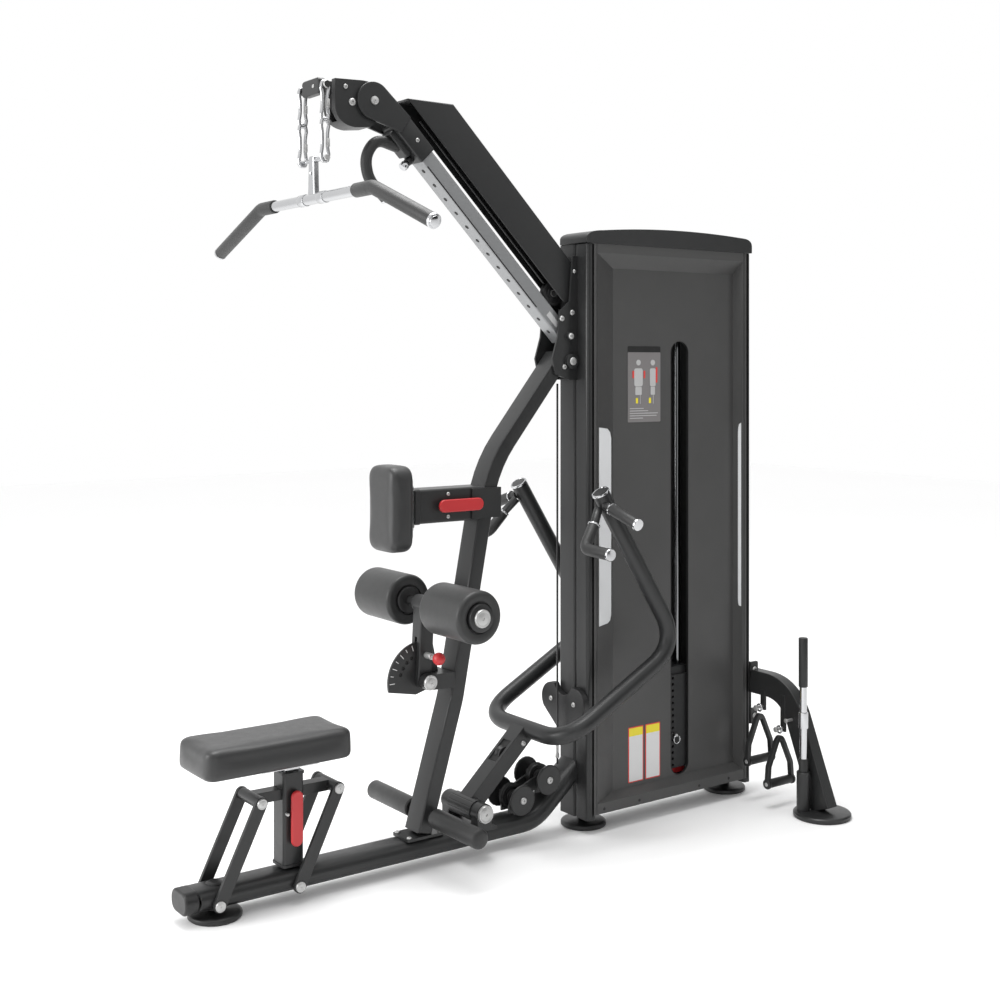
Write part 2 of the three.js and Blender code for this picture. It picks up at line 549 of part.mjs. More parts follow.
function latBar() {
  const { x, z } = LAT_BAR;
  const hangerZ = HEAD.z - 12;
  const yokeZ = 2082;
  place('cable_yoke', join(
    slab('yz', roundRect(-50, 50, HEAD.z - 34, HEAD.z + 12, 10), HEAD.x - 12, HEAD.x + 12, 3, 1),
    pin(HEAD.x, hangerZ, -80, 80, 6), pin(HEAD.x, hangerZ, -82, -76, 10),
    pin(HEAD.x, hangerZ, 76, 82, 10)), coat);
  // two long eyes, one over the other, between the hanger's pin and the yoke's pin
  const eye = (y, low, high) => cut(
    slab('xz', roundRect(x - 13, x + 13, low, high, 12.5), y - 6, y + 6),
    slab('xz', roundRect(x - 7.5, x + 7.5, low + 6, high - 6, 7.4), y - 20, y + 20));
  for (const [name, y] of [['snap_link_near', -HEAD.linkY], ['snap_link_far', HEAD.linkY]]) {
    place(name, join(eye(y, yokeZ - 13, 2192), eye(y, 2187, hangerZ + 13)), steel);
  }
  const route = [
    [x, -LAT_BAR.end, LAT_BAR.endZ], [x, -LAT_BAR.straight, z], [x, LAT_BAR.straight, z],
    [x, LAT_BAR.end, LAT_BAR.endZ],
  ];
  const stem = hull(...[[-13, z], [13, z], [-9, yokeZ + 12], [9, yokeZ + 12]].flatMap(
    ([y, height]) => [[x - 9, y * 1.6, height], [x + 9, y * 1.6, height]]));
  place('lat_bar', join(
    pipe(route, LAT_BAR.radius, 60, 12, 4), stem, pin(x, yokeZ, -80, 80, 6),
    pin(x, yokeZ, -82, -76, 10), pin(x, yokeZ, 76, 82, 10)), steel);
  for (const [name, side] of [['lat_grip_near', -1], ['lat_grip_far', 1]]) {
    const start = [x, side * LAT_BAR.gripStart, z];
    const middle = [x, side * LAT_BAR.straight, z];
    const fall = (LAT_BAR.endZ - z) / (LAT_BAR.end - LAT_BAR.straight);
    const outer = (y) => [x, side * y, z + (y - LAT_BAR.straight) * fall];
    const sleeve = pipe([start, middle, outer(LAT_BAR.end - 12)], LAT_BAR.grip, 60, 12, 4);
    const inner = [x, side * (LAT_BAR.gripStart - 40), z];
    const bore = pipe([inner, middle, outer(LAT_BAR.end + 20)], LAT_BAR.radius + GAP, 60, 12, 4);
    place(name, cut(sleeve, bore), rubber);
  }
}

// ---- row arm ----
function rowArm() {
  const { x, z } = ARM;
  const side = [[ARM.top.x, ARM.top.z], [1514, 598], [1052, 352]];
  const near = side.map(([px, pz]) => [px, -ARM.halfY, pz]);
  const far = side.toReversed().map(([px, pz]) => [px, ARM.halfY, pz]);
  const route = [...near, ...far];
  const tube = pipe(route, ARM.radius, 115, 16, 5);
  const beam = slab('xz', ribbon([[x, z], [1058, 356]], 27, 0), -31, 31, 4, 1);
  const pivot = pin(x, z, -60, 60, 33, 20);
  const bore = pin(x, z, -70, 70, 14.4, 20);
  place('row_arm', cut(join(tube, beam, pivot), bore), coat);
  place('row_axle', join(
    pin(x, z, -100, 100, 14, 20), pin(x, z, -108, -97.5, 27, 24), pin(x, z, 97.5, 108, 27, 24)), steel);
  const lug = (y0, y1) => join(
    pin(x, z, y0, y1, 30, 24), box(x - 26, x + 26, y0, y1, RAIL.top + 4, z));
  const foot = box(x - 45, x + 45, -97, 97, RAIL.top + GAP, RAIL.top + 10);
  place('row_bracket', cut(join(foot, lug(61, 97), lug(-97, -61)), pin(x, z, -110, 110, 14.3, 20)), coat);
}

// each arm top carries a straight grip and an angled grip on short stubs
function rowHandles() {
  const { x, z } = ARM.top;
  for (const [name, side] of [['row_handle_near', -1], ['row_handle_far', 1]]) {
    const y = side * ARM.halfY;
    const out = side * (ARM.radius + GAP);
    const [y0, y1] = [y + out, y + out + side * 9].sort((a, b) => a - b);
    const plate = slab('xz', roundRect(x - 30, x + 26, z - 82, z - 18, 10), y0, y1);
    const straight = pipe([[x + 4, y + out + side * 4, z - 42], [x + 4, y + side * 172, z - 84]], 18, 0, 12);
    const angled = pipe([
      [x - 10, y + out + side * 10, z - 55], [x - 98, y + side * 40, z - 160],
      [x - 98, y + side * 165, z - 166]], 18, 26, 12, 3);
    place(name, join(plate, straight, angled), rubber);
  }
}

// ---- base pulleys and the cables of the row arm ----
function basePulleys() {
  const wheels = [['base_pulley_front', 1000, 146], ['base_pulley_rear', 1104, 192]];
  const plate = (y0, y1) => join(...wheels.flatMap(
    ([, x, z]) => [pin(x, z, y0, y1, 24, 20), box(x - 24, x + 24, y0, y1, z - 46, z)]));
  const strap = (y0, y1) => slab('xz', [[990, 122], [1104, 168], [1104, 208], [990, 162]], y0, y1);
  const cover = (x, z, y) => puck([x, y - 6, z], [0, 1, 0], 47, 12, 4);
  const solids = wheels.flatMap(([, x, z]) => [
    cover(x, z, -60), cover(x, z, 60), pin(x, z, -60, 60, 9)]);
  const rail = toSolid(join(plate(-24, -16), plate(16, 24), strap(-24, -16), strap(16, 24), ...solids));
  const railClear = slab('xz', ribbon(
    [[RAIL.start, 62], [1075, 62], [TOWER.left + 40, 223]], 31, 140), -52, 52);
  place('pulley_bracket', toGeometry(rail.subtract(toSolid(railClear))), coat);
  for (const [name, x, z] of wheels) place(name, sheave(x, z, 40, 9.4, 11), plastic);
}

function columnParts() {
  const z = 395;
  const lobes = (radius) => hull(...[-58, 58].flatMap((y) => disc(y, z + 18, radius, 24)).flatMap(
    ([y, height]) => [[TOWER.left - 24, y, height], [TOWER.left - GAP, y, height]]),
    [TOWER.left - 24, 0, z - 85], [TOWER.left - GAP, 0, z - 85]);
  const notch = slab('yz', disc(0, z + 92, 34, 20), TOWER.left - 40, TOWER.left + 5);
  place('column_pulley_cover', cut(lobes(52), notch), plastic);
  place('column_cable', rod([CABLE.x, CABLE.y, 215], [CABLE.x, CABLE.y, 1440], 3.5, 8), plastic);
}

// the pivot stud of a lever, ending in a cone so that the lever can tilt
const leverPivot = (x, z, y, length) => turned(
  [[0, 0], [7, 0], [7, length - 3.4], [1.2, length], [0, length]], [x, y, z], [0, 1, 0], 16);

// ---- chest pad ----
function chestPad() {
  const { x0, x1, halfY, z0, z1, axisZ } = CHEST;
  place('chest_pad', slab('yz', roundRect(-halfY, halfY, z0, z1, 30), x0, x1, 18, 2), vinyl);
  const plate = slab('yz', roundRect(-50, 50, axisZ - 70, axisZ + 70, 12), x1 + GAP, x1 + 8);
  const { tubeY, tubeZ } = CHEST;
  const tube = slab('yz', roundRect(-tubeY, tubeY, axisZ - tubeZ, axisZ + tubeZ, 5), x1 + 5, 820);
  place('chest_tube', join(plate, tube), steel);
  const paddle = slab('xz', roundRect(692, 852, axisZ - 19, axisZ + 19, 18.5), -64, -54, 3, 1);
  place('chest_lever', join(paddle, leverPivot(828, axisZ, -56, 8.4)), red);
}

// ---- thigh rollers ----
function thighRollers() {
  const { x, z, pivotX, pivotZ } = THIGH;
  const arm = slab('xz', ribbon([[pivotX, pivotZ], [x, z]], 24, 0), -24, 24, 3, 1);
  const hub = pin(pivotX, pivotZ, -24, 24, 24, 24);
  const head = pin(x, z, -32, 32, 26, 24);
  const fork = box(pivotX - 60, pivotX + 60, -6, 6, pivotZ - 40, pivotZ + 130);
  const bore = pin(pivotX, pivotZ, -40, 40, 10.4, 20);
  const pinHole = pin(pivotX + 4, pivotZ + THIGH_PIN, -40, 6, 6.5);
  const axle = pin(x, z, -THIGH.outer - 4, THIGH.outer + 4, THIGH.axle, 20);
  place('thigh_arm', join(cut(join(arm, hub, head), fork, bore, pinHole), axle), coat);
  for (const [name, side] of [['thigh_roller_near', -1], ['thigh_roller_far', 1]]) {
    const low = Math.min(side * THIGH.inner, side * THIGH.outer);
    const roller = turned([
      [THIGH.axle + 0.4, 0], [THIGH.radius - 10, 0], [THIGH.radius - 3, 3], [THIGH.radius, 10],
      [THIGH.radius, THIGH.outer - THIGH.inner - 10], [THIGH.radius - 3, THIGH.outer - THIGH.inner - 3],
      [THIGH.radius - 10, THIGH.outer - THIGH.inner], [THIGH.axle + 0.4, THIGH.outer - THIGH.inner],
      [THIGH.axle + 0.4, 0],
    ], [x, low, z], [0, 1, 0], 24);
    place(name, roller, rubber);
  }
  const lugRim = [...disc(pivotX, pivotZ, 23, 24), [752, pivotZ - 26], [752, pivotZ + 20]];
  const lug = (y0, y1) => hull(...lugRim.flatMap(([px, pz]) => [[px, y0, pz], [px, y1, pz]]));
  const web = box(708, 752, -50, 50, pivotZ - 26, pivotZ + 20);
  const sector = new THREE.Shape();
  sector.moveTo(pivotX + 60, pivotZ - 20);
  sector.lineTo(pivotX + 60, pivotZ + 18);
  sector.absarc(pivotX, pivotZ, 116, (70 * Math.PI) / 180, (192 * Math.PI) / 180);
  sector.lineTo(pivotX - 20, pivotZ - 42);
  const holes = Array.from({ length: 5 }, (_, i) => {
    const angle = (87 + 15 * (i === 0 ? 0 : i + 1)) * (Math.PI / 180);
    return pin(pivotX + THIGH_PIN * Math.cos(angle), pivotZ + THIGH_PIN * Math.sin(angle), -10, 10, 6);
  });
  const plate = cut(slab('xz', sector, -4, 4), ...holes);
  place('quadrant_bracket', join(
    lug(26, 52), lug(-52, -26), web, plate, pin(pivotX, pivotZ, -60, 60, 10, 20)), coat);
  const shaft = (y0, y1, radius) => pin(pivotX + 4, pivotZ + THIGH_PIN, y0, y1, radius, 20);
  place('thigh_pin', join(shaft(-90, -6.5, 5), shaft(-56, -25, 10), shaft(-104, -84, 15)), red);
}

function footPegs() {
  for (const [name, side] of [['foot_peg_near', -1], ['foot_peg_far', 1]]) {
    const y = side * PEG.start;
    const length = PEG.end - PEG.start;
    const sleeve = puck([PEG.x, y, PEG.z], [0, side, 0], PEG.radius, length, 6);
    const reach = side * (PEG.end - 10 + GAP);
    const bore = rod([PEG.x, y - side * 5, PEG.z], [PEG.x, reach, PEG.z], PEG.bar + GAP, 16);
    place(name, cut(sleeve, bore), rubber);
  }
}

// ---- seat ----
function seat() {
  const { low, high, spread } = SEAT;
  const { x0, x1, halfY, z0, z1 } = CUSHION;
  place('seat_cushion', slab('xy', roundRect(x0, x1, -halfY, halfY, 38), z0, z1, 16, 2, 3), vinyl);
  const sleeveLow = 100;
  const sleeveTop = 358;
  place('seat_post', join(
    box(CARRIAGE_X - 22, CARRIAGE_X + 22, -22, 22, sleeveLow + 60, z0 - 10),
    slab('xy', roundRect(CARRIAGE_X - 110, CARRIAGE_X + 70, -60, 60, 10), z0 - 12, z0 - GAP)), steel);
  const sleeve = slab('xy', roundRect(CARRIAGE_X - 32, CARRIAGE_X + 32, -34, 34, 9), sleeveLow, sleeveTop);
  const beam = box(high.x, high.x + spread, -20, 20, high.z - 15, high.z + 15);
  const boss = (x) => pin(x, high.z, -LINK.inner + 1, LINK.inner - 1, 17, 20);
  const bolt = (x) => pin(x, high.z, -LINK.outer - 3, LINK.outer + 3, LINK.axle);
  const bore = box(CARRIAGE_X - 23, CARRIAGE_X + 23, -23, 23, sleeveLow - 5, sleeveTop + 5);
  const frame = cut(join(sleeve, beam, boss(high.x), boss(high.x + spread)), bore);
  place('seat_carriage', join(frame, bolt(high.x), bolt(high.x + spread)), coat);
  const stud = leverPivot(CARRIAGE_X + 2, 286, -46, 11.6);
  const paddle = slab('xz', roundRect(CARRIAGE_X - 16, CARRIAGE_X + 20, 158, 314, 17.5), -54, -44, 3, 1);
  place('seat_lever', join(paddle, stud), red);
  const link = (x, y0, y1) => slab(
    'xz', ribbon([[x + low.x, low.z], [x + high.x, high.z]], LINK.half, 0), y0, y1);
  const ends = (x, y0, y1) => [
    pin(x + low.x, low.z, y0, y1, LINK.half, 20), pin(x + high.x, high.z, y0, y1, LINK.half, 20)];
  for (const [name, x] of [['front_links', 0], ['rear_links', spread]]) {
    const bars = [[-LINK.outer, -LINK.inner], [LINK.inner, LINK.outer]].flatMap(
      ([y0, y1]) => [link(x, y0, y1), ...ends(x, y0, y1)]);
    const axle = pin(x + low.x, low.z, -LINK.outer - 3, LINK.outer + 3, LINK.axle);
    const hole = pin(x + high.x, high.z, -80, 80, LINK.axle + 0.4);
    place(name, cut(join(...bars, axle), hole), coat);
  }
}

// ---- storage rack ----
function storageRack() {
  const arch = slab('yz', ribbon([[-22, 395], [-262, 395], [-412, 24]], 40, 150), RACK.x0, RACK.x1, 3, 1);
  const plate = box(RACK.x0 - 0.7, RACK.x0 + 7, -98, -8, 245, 462);
  const foot = puck([RACK.footX, RACK.footY, 0], [0, 0, 1], 95, 18, 4, 28);
  const holder = rod([RACK.barX, RACK.barY, 15], [RACK.barX, RACK.barY, 147], 22, 20);
  const bridge = box(RACK.barX, RACK.x0 + 5, RACK.barY - 12, RACK.barY + 4, 20, 130);
  const hook = ([y, z]) => join(
    rod([RACK.x0 + 4, y, z], [HOOK.end, y, z], HOOK.radius, 12),
    rod([HOOK.end, y, z], [HOOK.end - 5, y, z], 9, 16));
  const drop = (y, z) => box(RACK.x0, RACK.x0 + 8, y - 12, y + 12, z - 12, 380);
  const hangers = HOOK.at.map(([y, z]) => drop(y, z));
  const bore = rod([RACK.barX, RACK.barY, 24], [RACK.barX, RACK.barY, 160], 16.5, 24);
  const solids = [arch, plate, foot, holder, bridge, ...hangers, ...HOOK.at.map(hook)];
  place('rack_arm', cut(join(...solids), bore), coat);
  place('storage_bar', turned([
    [0, 24.5], [15, 24.5], [15, 188], [12, 190], [12, 290], [16, 291], [16, 344], [12, 345], [12, 428],
    [15, 430], [15, 588], [12, 592], [0, 592],
  ], [RACK.barX, RACK.barY, 0], [0, 0, 1], 20), steel);
  for (const [name, [y, z]] of [['pull_handle_front', HOOK.at[1]], ['pull_handle_rear', HOOK.at[0]]]) {
    const x = (RACK.x0 + HOOK.end) / 2;
    const eyeZ = z - 11 + HOOK.radius + GAP + 4;
    const eye = new THREE.TorusGeometry(11, 4, 6, 14);
    eye.rotateY(Math.PI / 2);
    eye.translate(x, y, eyeZ);
    const gripZ = z - 178;
    const legs = [[-58, gripZ], [-52, gripZ + 60], [0, eyeZ - 6], [52, gripZ + 60], [58, gripZ]];
    const yoke = pipe(legs.map(([offset, height]) => [x + offset, y, height]), 5, 12, 8, 2);
    const bar = (from, to, radius) => rod([x + from, y, gripZ], [x + to, y, gripZ], radius, 16);
    place(name, join(eye, yoke, bar(-56, 56, 14), bar(-64, -54, 17), bar(54, 64, 17)), rubber);
  }
}

baseFrame();
frontPost();
towerFrame();
crownCap();
frontShroud();
rearCover();
weightStack();
topBracket();
adjustTube();
cableBeam();
headCarriage();
pulleyHousing();
latBar();
rowArm();
rowHandles();
basePulleys();
columnParts();
chestPad();
thighRollers();
footPegs();
seat();
storageRack();

export default group;
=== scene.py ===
import json
import math

import bmesh
import bpy
import numpy as np
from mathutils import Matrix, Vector


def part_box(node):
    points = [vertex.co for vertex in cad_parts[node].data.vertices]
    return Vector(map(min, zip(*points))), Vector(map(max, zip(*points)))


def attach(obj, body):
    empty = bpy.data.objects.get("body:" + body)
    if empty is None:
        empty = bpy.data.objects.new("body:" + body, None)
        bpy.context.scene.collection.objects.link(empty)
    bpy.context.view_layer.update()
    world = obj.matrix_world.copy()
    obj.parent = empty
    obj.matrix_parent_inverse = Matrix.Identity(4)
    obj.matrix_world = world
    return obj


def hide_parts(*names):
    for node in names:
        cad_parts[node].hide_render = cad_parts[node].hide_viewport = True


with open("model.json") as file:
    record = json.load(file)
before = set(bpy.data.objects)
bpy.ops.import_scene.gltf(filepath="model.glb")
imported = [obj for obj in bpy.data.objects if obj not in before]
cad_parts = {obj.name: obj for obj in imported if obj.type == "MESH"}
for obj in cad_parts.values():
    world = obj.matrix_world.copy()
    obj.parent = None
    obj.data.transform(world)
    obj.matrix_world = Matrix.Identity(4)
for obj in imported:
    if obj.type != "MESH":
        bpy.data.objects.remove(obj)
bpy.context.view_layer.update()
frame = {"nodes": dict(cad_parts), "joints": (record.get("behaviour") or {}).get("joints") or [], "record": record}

NODE_BODY = {n: b for b, names in frame["record"]["behaviour"]["bodies"].items() for n in names}
NODE_SLOT = {s["node"]: s["material_slot"] for s in frame["record"]["subparts"]}
PIVOTS = {j["name"]: Vector(j["pos_m"]) for j in frame["joints"] if "pos_m" in j}


# ---- camera: level, with a vertical shift, on the machine's seat side ----
def camera():
    data = bpy.data.cameras.new("camera")
    data.sensor_width = 36
    data.lens = 49.9
    data.shift_y = -0.135
    eye = bpy.data.objects.new("camera", data)
    eye.location = (-1.5856, -3.5083, 1.5)
    eye.rotation_euler = (math.radians(90), 0, math.radians(-35.94))
    bpy.context.scene.collection.objects.link(eye)
    bpy.context.scene.camera = eye


camera()


# ---- materials ----
def add(tree, kind, **inputs):
    node = tree.nodes.new(kind)
    for name, value in inputs.items():
        node.inputs[name].default_value = value
    return node


def shade(colour, factor):
    return tuple(min(1, c * factor) for c in colour) + (1,)


def grain_height(tree, vector, kind, scale):
    """Height of the surface's fine texture: even noise, pebbled leather or a dimpled moulding."""
    if kind == "noise":
        node = add(tree, "ShaderNodeTexNoise", Scale=scale, Detail=3, Roughness=0.6)
        tree.links.new(vector, node.inputs["Vector"])
        return node.outputs["Fac"]
    cells = add(tree, "ShaderNodeTexVoronoi", Scale=scale, Randomness=1)
    cells.feature = "DISTANCE_TO_EDGE" if kind == "leather" else "SMOOTH_F1"
    tree.links.new(vector, cells.inputs["Vector"])
    level = add(tree, "ShaderNodeMapRange")
    level.inputs["From Max"].default_value = 0.35
    tree.links.new(cells.outputs["Distance"], level.inputs["Value"])
    return level.outputs["Result"]


def material(name, colour, roughness, metallic=0.0, vary=0.07, blotch=5.0, spread=0.05, kind="noise",
        grain=1400.0, bump=0.08, depth=0.0003, stretch=(1, 1, 1), turn=0.0, **sockets):
    look = bpy.data.materials.new(name)
    look.use_nodes = True
    tree = look.node_tree
    surface = tree.nodes["Principled BSDF"]
    surface.inputs["Metallic"].default_value = metallic
    for socket, value in sockets.items():
        surface.inputs[socket.replace("_", " ")].default_value = value
    place = add(tree, "ShaderNodeTexCoord")
    turned = add(tree, "ShaderNodeMapping", Scale=stretch, Rotation=(0, turn, 0))
    tree.links.new(place.outputs["Object"], turned.inputs["Vector"])
    vector = turned.outputs["Vector"]
    blotches = add(tree, "ShaderNodeTexNoise", Scale=blotch, Detail=4, Roughness=0.55)
    tree.links.new(vector, blotches.inputs["Vector"])
    tint = add(tree, "ShaderNodeValToRGB")
    tint.color_ramp.elements[0].position = 0.3
    tint.color_ramp.elements[1].position = 0.7
    tint.color_ramp.elements[0].color = shade(colour, 1 - vary)
    tint.color_ramp.elements[1].color = shade(colour, 1 + vary)
    tree.links.new(blotches.outputs["Fac"], tint.inputs["Fac"])
    tree.links.new(tint.outputs["Color"], surface.inputs["Base Color"])
    haze = add(tree, "ShaderNodeTexNoise", Scale=blotch * 7, Detail=5, Roughness=0.7)
    tree.links.new(vector, haze.inputs["Vector"])
    level = add(tree, "ShaderNodeMapRange")
    level.inputs["From Min"].default_value = 0.3
    level.inputs["From Max"].default_value = 0.7
    level.inputs["To Min"].default_value = max(0.02, roughness - spread)
    level.inputs["To Max"].default_value = roughness + spread
    tree.links.new(haze.outputs["Fac"], level.inputs["Value"])
    tree.links.new(level.outputs["Result"], surface.inputs["Roughness"])
    relief = add(tree, "ShaderNodeBump", Strength=bump, Distance=depth)
    tree.links.new(grain_height(tree, vector, kind, grain), relief.inputs["Height"])
    tree.links.new(relief.outputs["Normal"], surface.inputs["Normal"])
    return look


SLOPE_TURN = math.radians(45)
LOOKS = {
    "coat": material("powder_coat", (0.021, 0.0215, 0.0218), 0.36, bump=0.12, grain=1500,
                     Specular_IOR_Level=0.42),
    "panel": material("panel_coat", (0.063, 0.0628, 0.0622), 0.4, bump=0.1, grain=1700, vary=0.05,
                      Specular_IOR_Level=0.42),
    "chrome": material("chrome", (0.56, 0.565, 0.575), 0.14, 1.0, vary=0.02, spread=0.04, bump=0.01),
    "silver": material("satin_silver", (0.29, 0.295, 0.3), 0.36, 0.5, vary=0.02, bump=0.02, grain=60,
                       stretch=(2, 30, 30), turn=SLOPE_TURN, Anisotropic=0.3),
    "plastic": material("black_plastic", (0.013, 0.013, 0.0135), 0.42, kind="dimple", grain=900, bump=0.12),
    "rubber": material("grip_rubber", (0.015, 0.0153, 0.0153), 0.5, kind="dimple", grain=650, bump=0.25,
                       Sheen_Weight=0.06, Sheen_Roughness=0.5),
    "foam": material("foam_skin", (0.021, 0.0215, 0.0215), 0.46, grain=700, bump=0.16, Sheen_Weight=0.06),
    "vinyl": material("vinyl", (0.024, 0.0242, 0.0245), 0.42, kind="leather", grain=620, bump=0.22,
                      Sheen_Weight=0.06, Coat_Weight=0.04, Coat_Roughness=0.5),
    "red": material("red_plastic", (0.5, 0.022, 0.026), 0.38, vary=0.04, kind="dimple", grain=800, bump=0.06,
                    Coat_Weight=0.1, Coat_Roughness=0.3),
    "iron": material("black_iron", (0.016, 0.0165, 0.017), 0.5, 0.2, vary=0.2, grain=500, bump=0.4),
    "steel": material("zinc_steel", (0.5, 0.5, 0.495), 0.36, 0.6, vary=0.05, spread=0.08, bump=0.05),
    # a darker copy of the chrome for the guide rods: painted shade of the tower's dim inside
    "chrome_in_shade": material("guide_rod_shaded_chrome", (0.2, 0.205, 0.21), 0.16, 1.0, vary=0.03, spread=0.04, bump=0.02),
    "cable": material("cable_coat", (0.015, 0.015, 0.016), 0.35, bump=0.1, grain=2200),
    # near-black used as painted shade in holes, pockets, the slot and along the tube's corner, and as the placard
    # header's print
    "dark": material("painted_shade_and_print_black", (0.01, 0.01, 0.01), 0.7, bump=0.1),
    "insert": material("window_insert", (0.84, 0.85, 0.86), 0.45, vary=0.02, bump=0.05),
    "placard": material("placard_grey", (0.2, 0.19, 0.19), 0.4, vary=0.03, bump=0.03),
    "ink": material("placard_ink", (0.5, 0.5, 0.5), 0.45, vary=0.04, bump=0.03),
    "white": material("label_white", (0.72, 0.72, 0.72), 0.4, vary=0.03, bump=0.03),
    "yellow": material("label_yellow", (0.85, 0.72, 0.03), 0.4, vary=0.03, bump=0.03),
    "crimson": material("label_red", (0.7, 0.06, 0.05), 0.4, vary=0.03, bump=0.03),
}


# ---- outlines, each a list of flat points ----
def arc(x, y, radius, start, end, steps):
    angles = [math.radians(start + (end - start) * i / steps) for i in range(steps + 1)]
    return [(x + radius * math.cos(a), y + radius * math.sin(a)) for a in angles]


def disc(x, y, radius, sides=40):
    return arc(x, y, radius, 0, 360 - 360 / sides, sides - 1)


def round_rect(x0, x1, y0, y1, radius, steps=8):
    corners = [(x1, y0, -90), (x1, y1, 0), (x0, y1, 90), (x0, y0, 180)]
    outline = []
    for x, y, start in corners:
        cx = x - radius if x == x1 else x + radius
        cy = y - radius if y == y1 else y + radius
        outline += arc(cx, cy, radius, start, start + 90, steps)
    return outline


def rounded(corners, bend, steps=12):
    """Points along a line of corners, each corner a smooth bend."""
    points = [Vector(c) for c in corners]
    route = [points[0]]
    for before, at, after in zip(points, points[1:], points[2:]):
        back = before - at
        ahead = after - at
        reach = min(bend / math.tan(back.angle(ahead) / 2), back.length * 0.49, ahead.length * 0.49)
        start = at + back.normalized() * reach
        end = at + ahead.normalized() * reach
        for i in range(steps + 1):
            t = i / steps
            route.append(start * (1 - t) ** 2 + at * 2 * t * (1 - t) + end * t * t)
    return route + [points[-1]]


def ribbon(corners, half, bend, steps=12):
    """Outline of a strip of constant width about a line of corners (x, y)."""
    route = rounded([(x, y, 0) for x, y in corners], bend, steps)
    left, right = [], []
    for i, point in enumerate(route):
        along = (route[min(i + 1, len(route) - 1)] - route[max(i - 1, 0)]).normalized()
        left.append((point.x - along.y * half, point.y + along.x * half))
        right.append((point.x + along.y * half, point.y - along.x * half))
    return left + right[::-1]


def stadium(ax, ay, bx, by, half, steps=14):
    heading = math.degrees(math.atan2(by - ay, bx - ax))
    return (arc(bx, by, half, heading - 90, heading + 90, steps)
        + arc(ax, ay, half, heading + 90, heading + 270, steps))


# ---- solids, each a pair of vertex and face lists ----
PLANES = {"xz": lambda a, b, c: (a, c, b), "yz": lambda a, b, c: (c, a, b), "xy": lambda a, b,
    c: (a, b, c),}


def block_faces(count):
    """Faces of a solid between two rows of count points: both ends, then the sides."""
    ends = [list(range(count))[::-1], list(range(count, 2 * count))]
    return ends + [[i, (i + 1) % count, count + (i + 1) % count, count + i] for i in range(count)]


def hoop_faces(count, around):
    """Faces of a closed tube of count rings with around points each."""
    faces = []
    for i in range(count):
        for k in range(around):
            j, m = (i + 1) % count, (k + 1) % around
            faces.append([i * around + k, j * around + k, j * around + m, i * around + m])
    return faces


def slab(plane, outline, low, high):
    """Flat solid with the given outline, from low to high across its plane."""
    at = PLANES[plane]
    verts = [at(a, b, low) for a, b in outline] + [at(a, b, high) for a, b in outline]
    return verts, block_faces(len(outline))


def tile(plane, x0, x1, y0, y1, bend, low, high, steps=8):
    """Slab with a rounded rectangle for its outline."""
    return slab(plane, round_rect(x0, x1, y0, y1, bend, steps), low, high)


def on_side(sign, inner, outer):
    """The span from inner to outer on one side of the middle, in rising order."""
    return sorted((sign * inner, sign * outer))


def box(x0, x1, y0, y1, z0, z1):
    return slab("xy", [(x0, y0), (x1, y0), (x1, y1), (x0, y1)], z0, z1)


def basis(direction):
    along = Vector(direction).normalized()
    helper = Vector((0, 0, 1)) if abs(along.z) < 0.9 else Vector((1, 0, 0))
    side = along.cross(helper).normalized()
    return along, side, along.cross(side)


def lathe(profile, at, direction=(0, 0, 1), sides=48):
    """Turned solid from (radius, height) pairs; a radius of 0 closes it on the axis."""
    along, side, up = basis(direction)
    verts, faces, rings = [], [], []
    for radius, height in profile:
        centre = Vector(at) + along * height
        if radius == 0:
            rings.append([len(verts)])
            verts.append(tuple(centre))
            continue
        rings.append(list(range(len(verts), len(verts) + sides)))
        for i in range(sides):
            a = 2 * math.pi * i / sides
            verts.append(tuple(centre + (side * math.cos(a) + up * math.sin(a)) * radius))
    for low, high in zip(rings, rings[1:]):
        for i in range(sides):
            j = (i + 1) % sides
            if len(low) == 1:
                faces.append([low[0], high[j], high[i]])
            elif len(high) == 1:
                faces.append([low[i], low[j], high[0]])
            else:
                faces.append([low[i], low[j], high[j], high[i]])
    return verts, faces


def rod(a, b, radius, soft=0.0008, sides=36):
    length = (Vector(b) - Vector(a)).length
    soft = min(soft, radius / 2, length / 3)
    profile = [(0, 0), (radius - soft, 0), (radius - soft * 0.3, soft * 0.3), (radius, soft),
        (radius, length - soft), (radius - soft * 0.3, length - soft * 0.3), (radius - soft, length),
        (0, length)]
    return lathe(profile, a, Vector(b) - Vector(a), sides)


def across(x, z, y0, y1, radius, soft=0.0008):
    return rod((x, y0, z), (x, y1, z), radius, soft)


def lever_stud(x, z, y0, y1, radius):
    """Pivot stud with a pointed foot, so that its lever can rock."""
    length = y1 - y0
    foot_start = length - 0.0036
    return lathe([(0, 0), (radius, 0), (radius, foot_start), (0.0012, length), (0, length)], (x, y0, z),
        (0, 1, 0), 32)


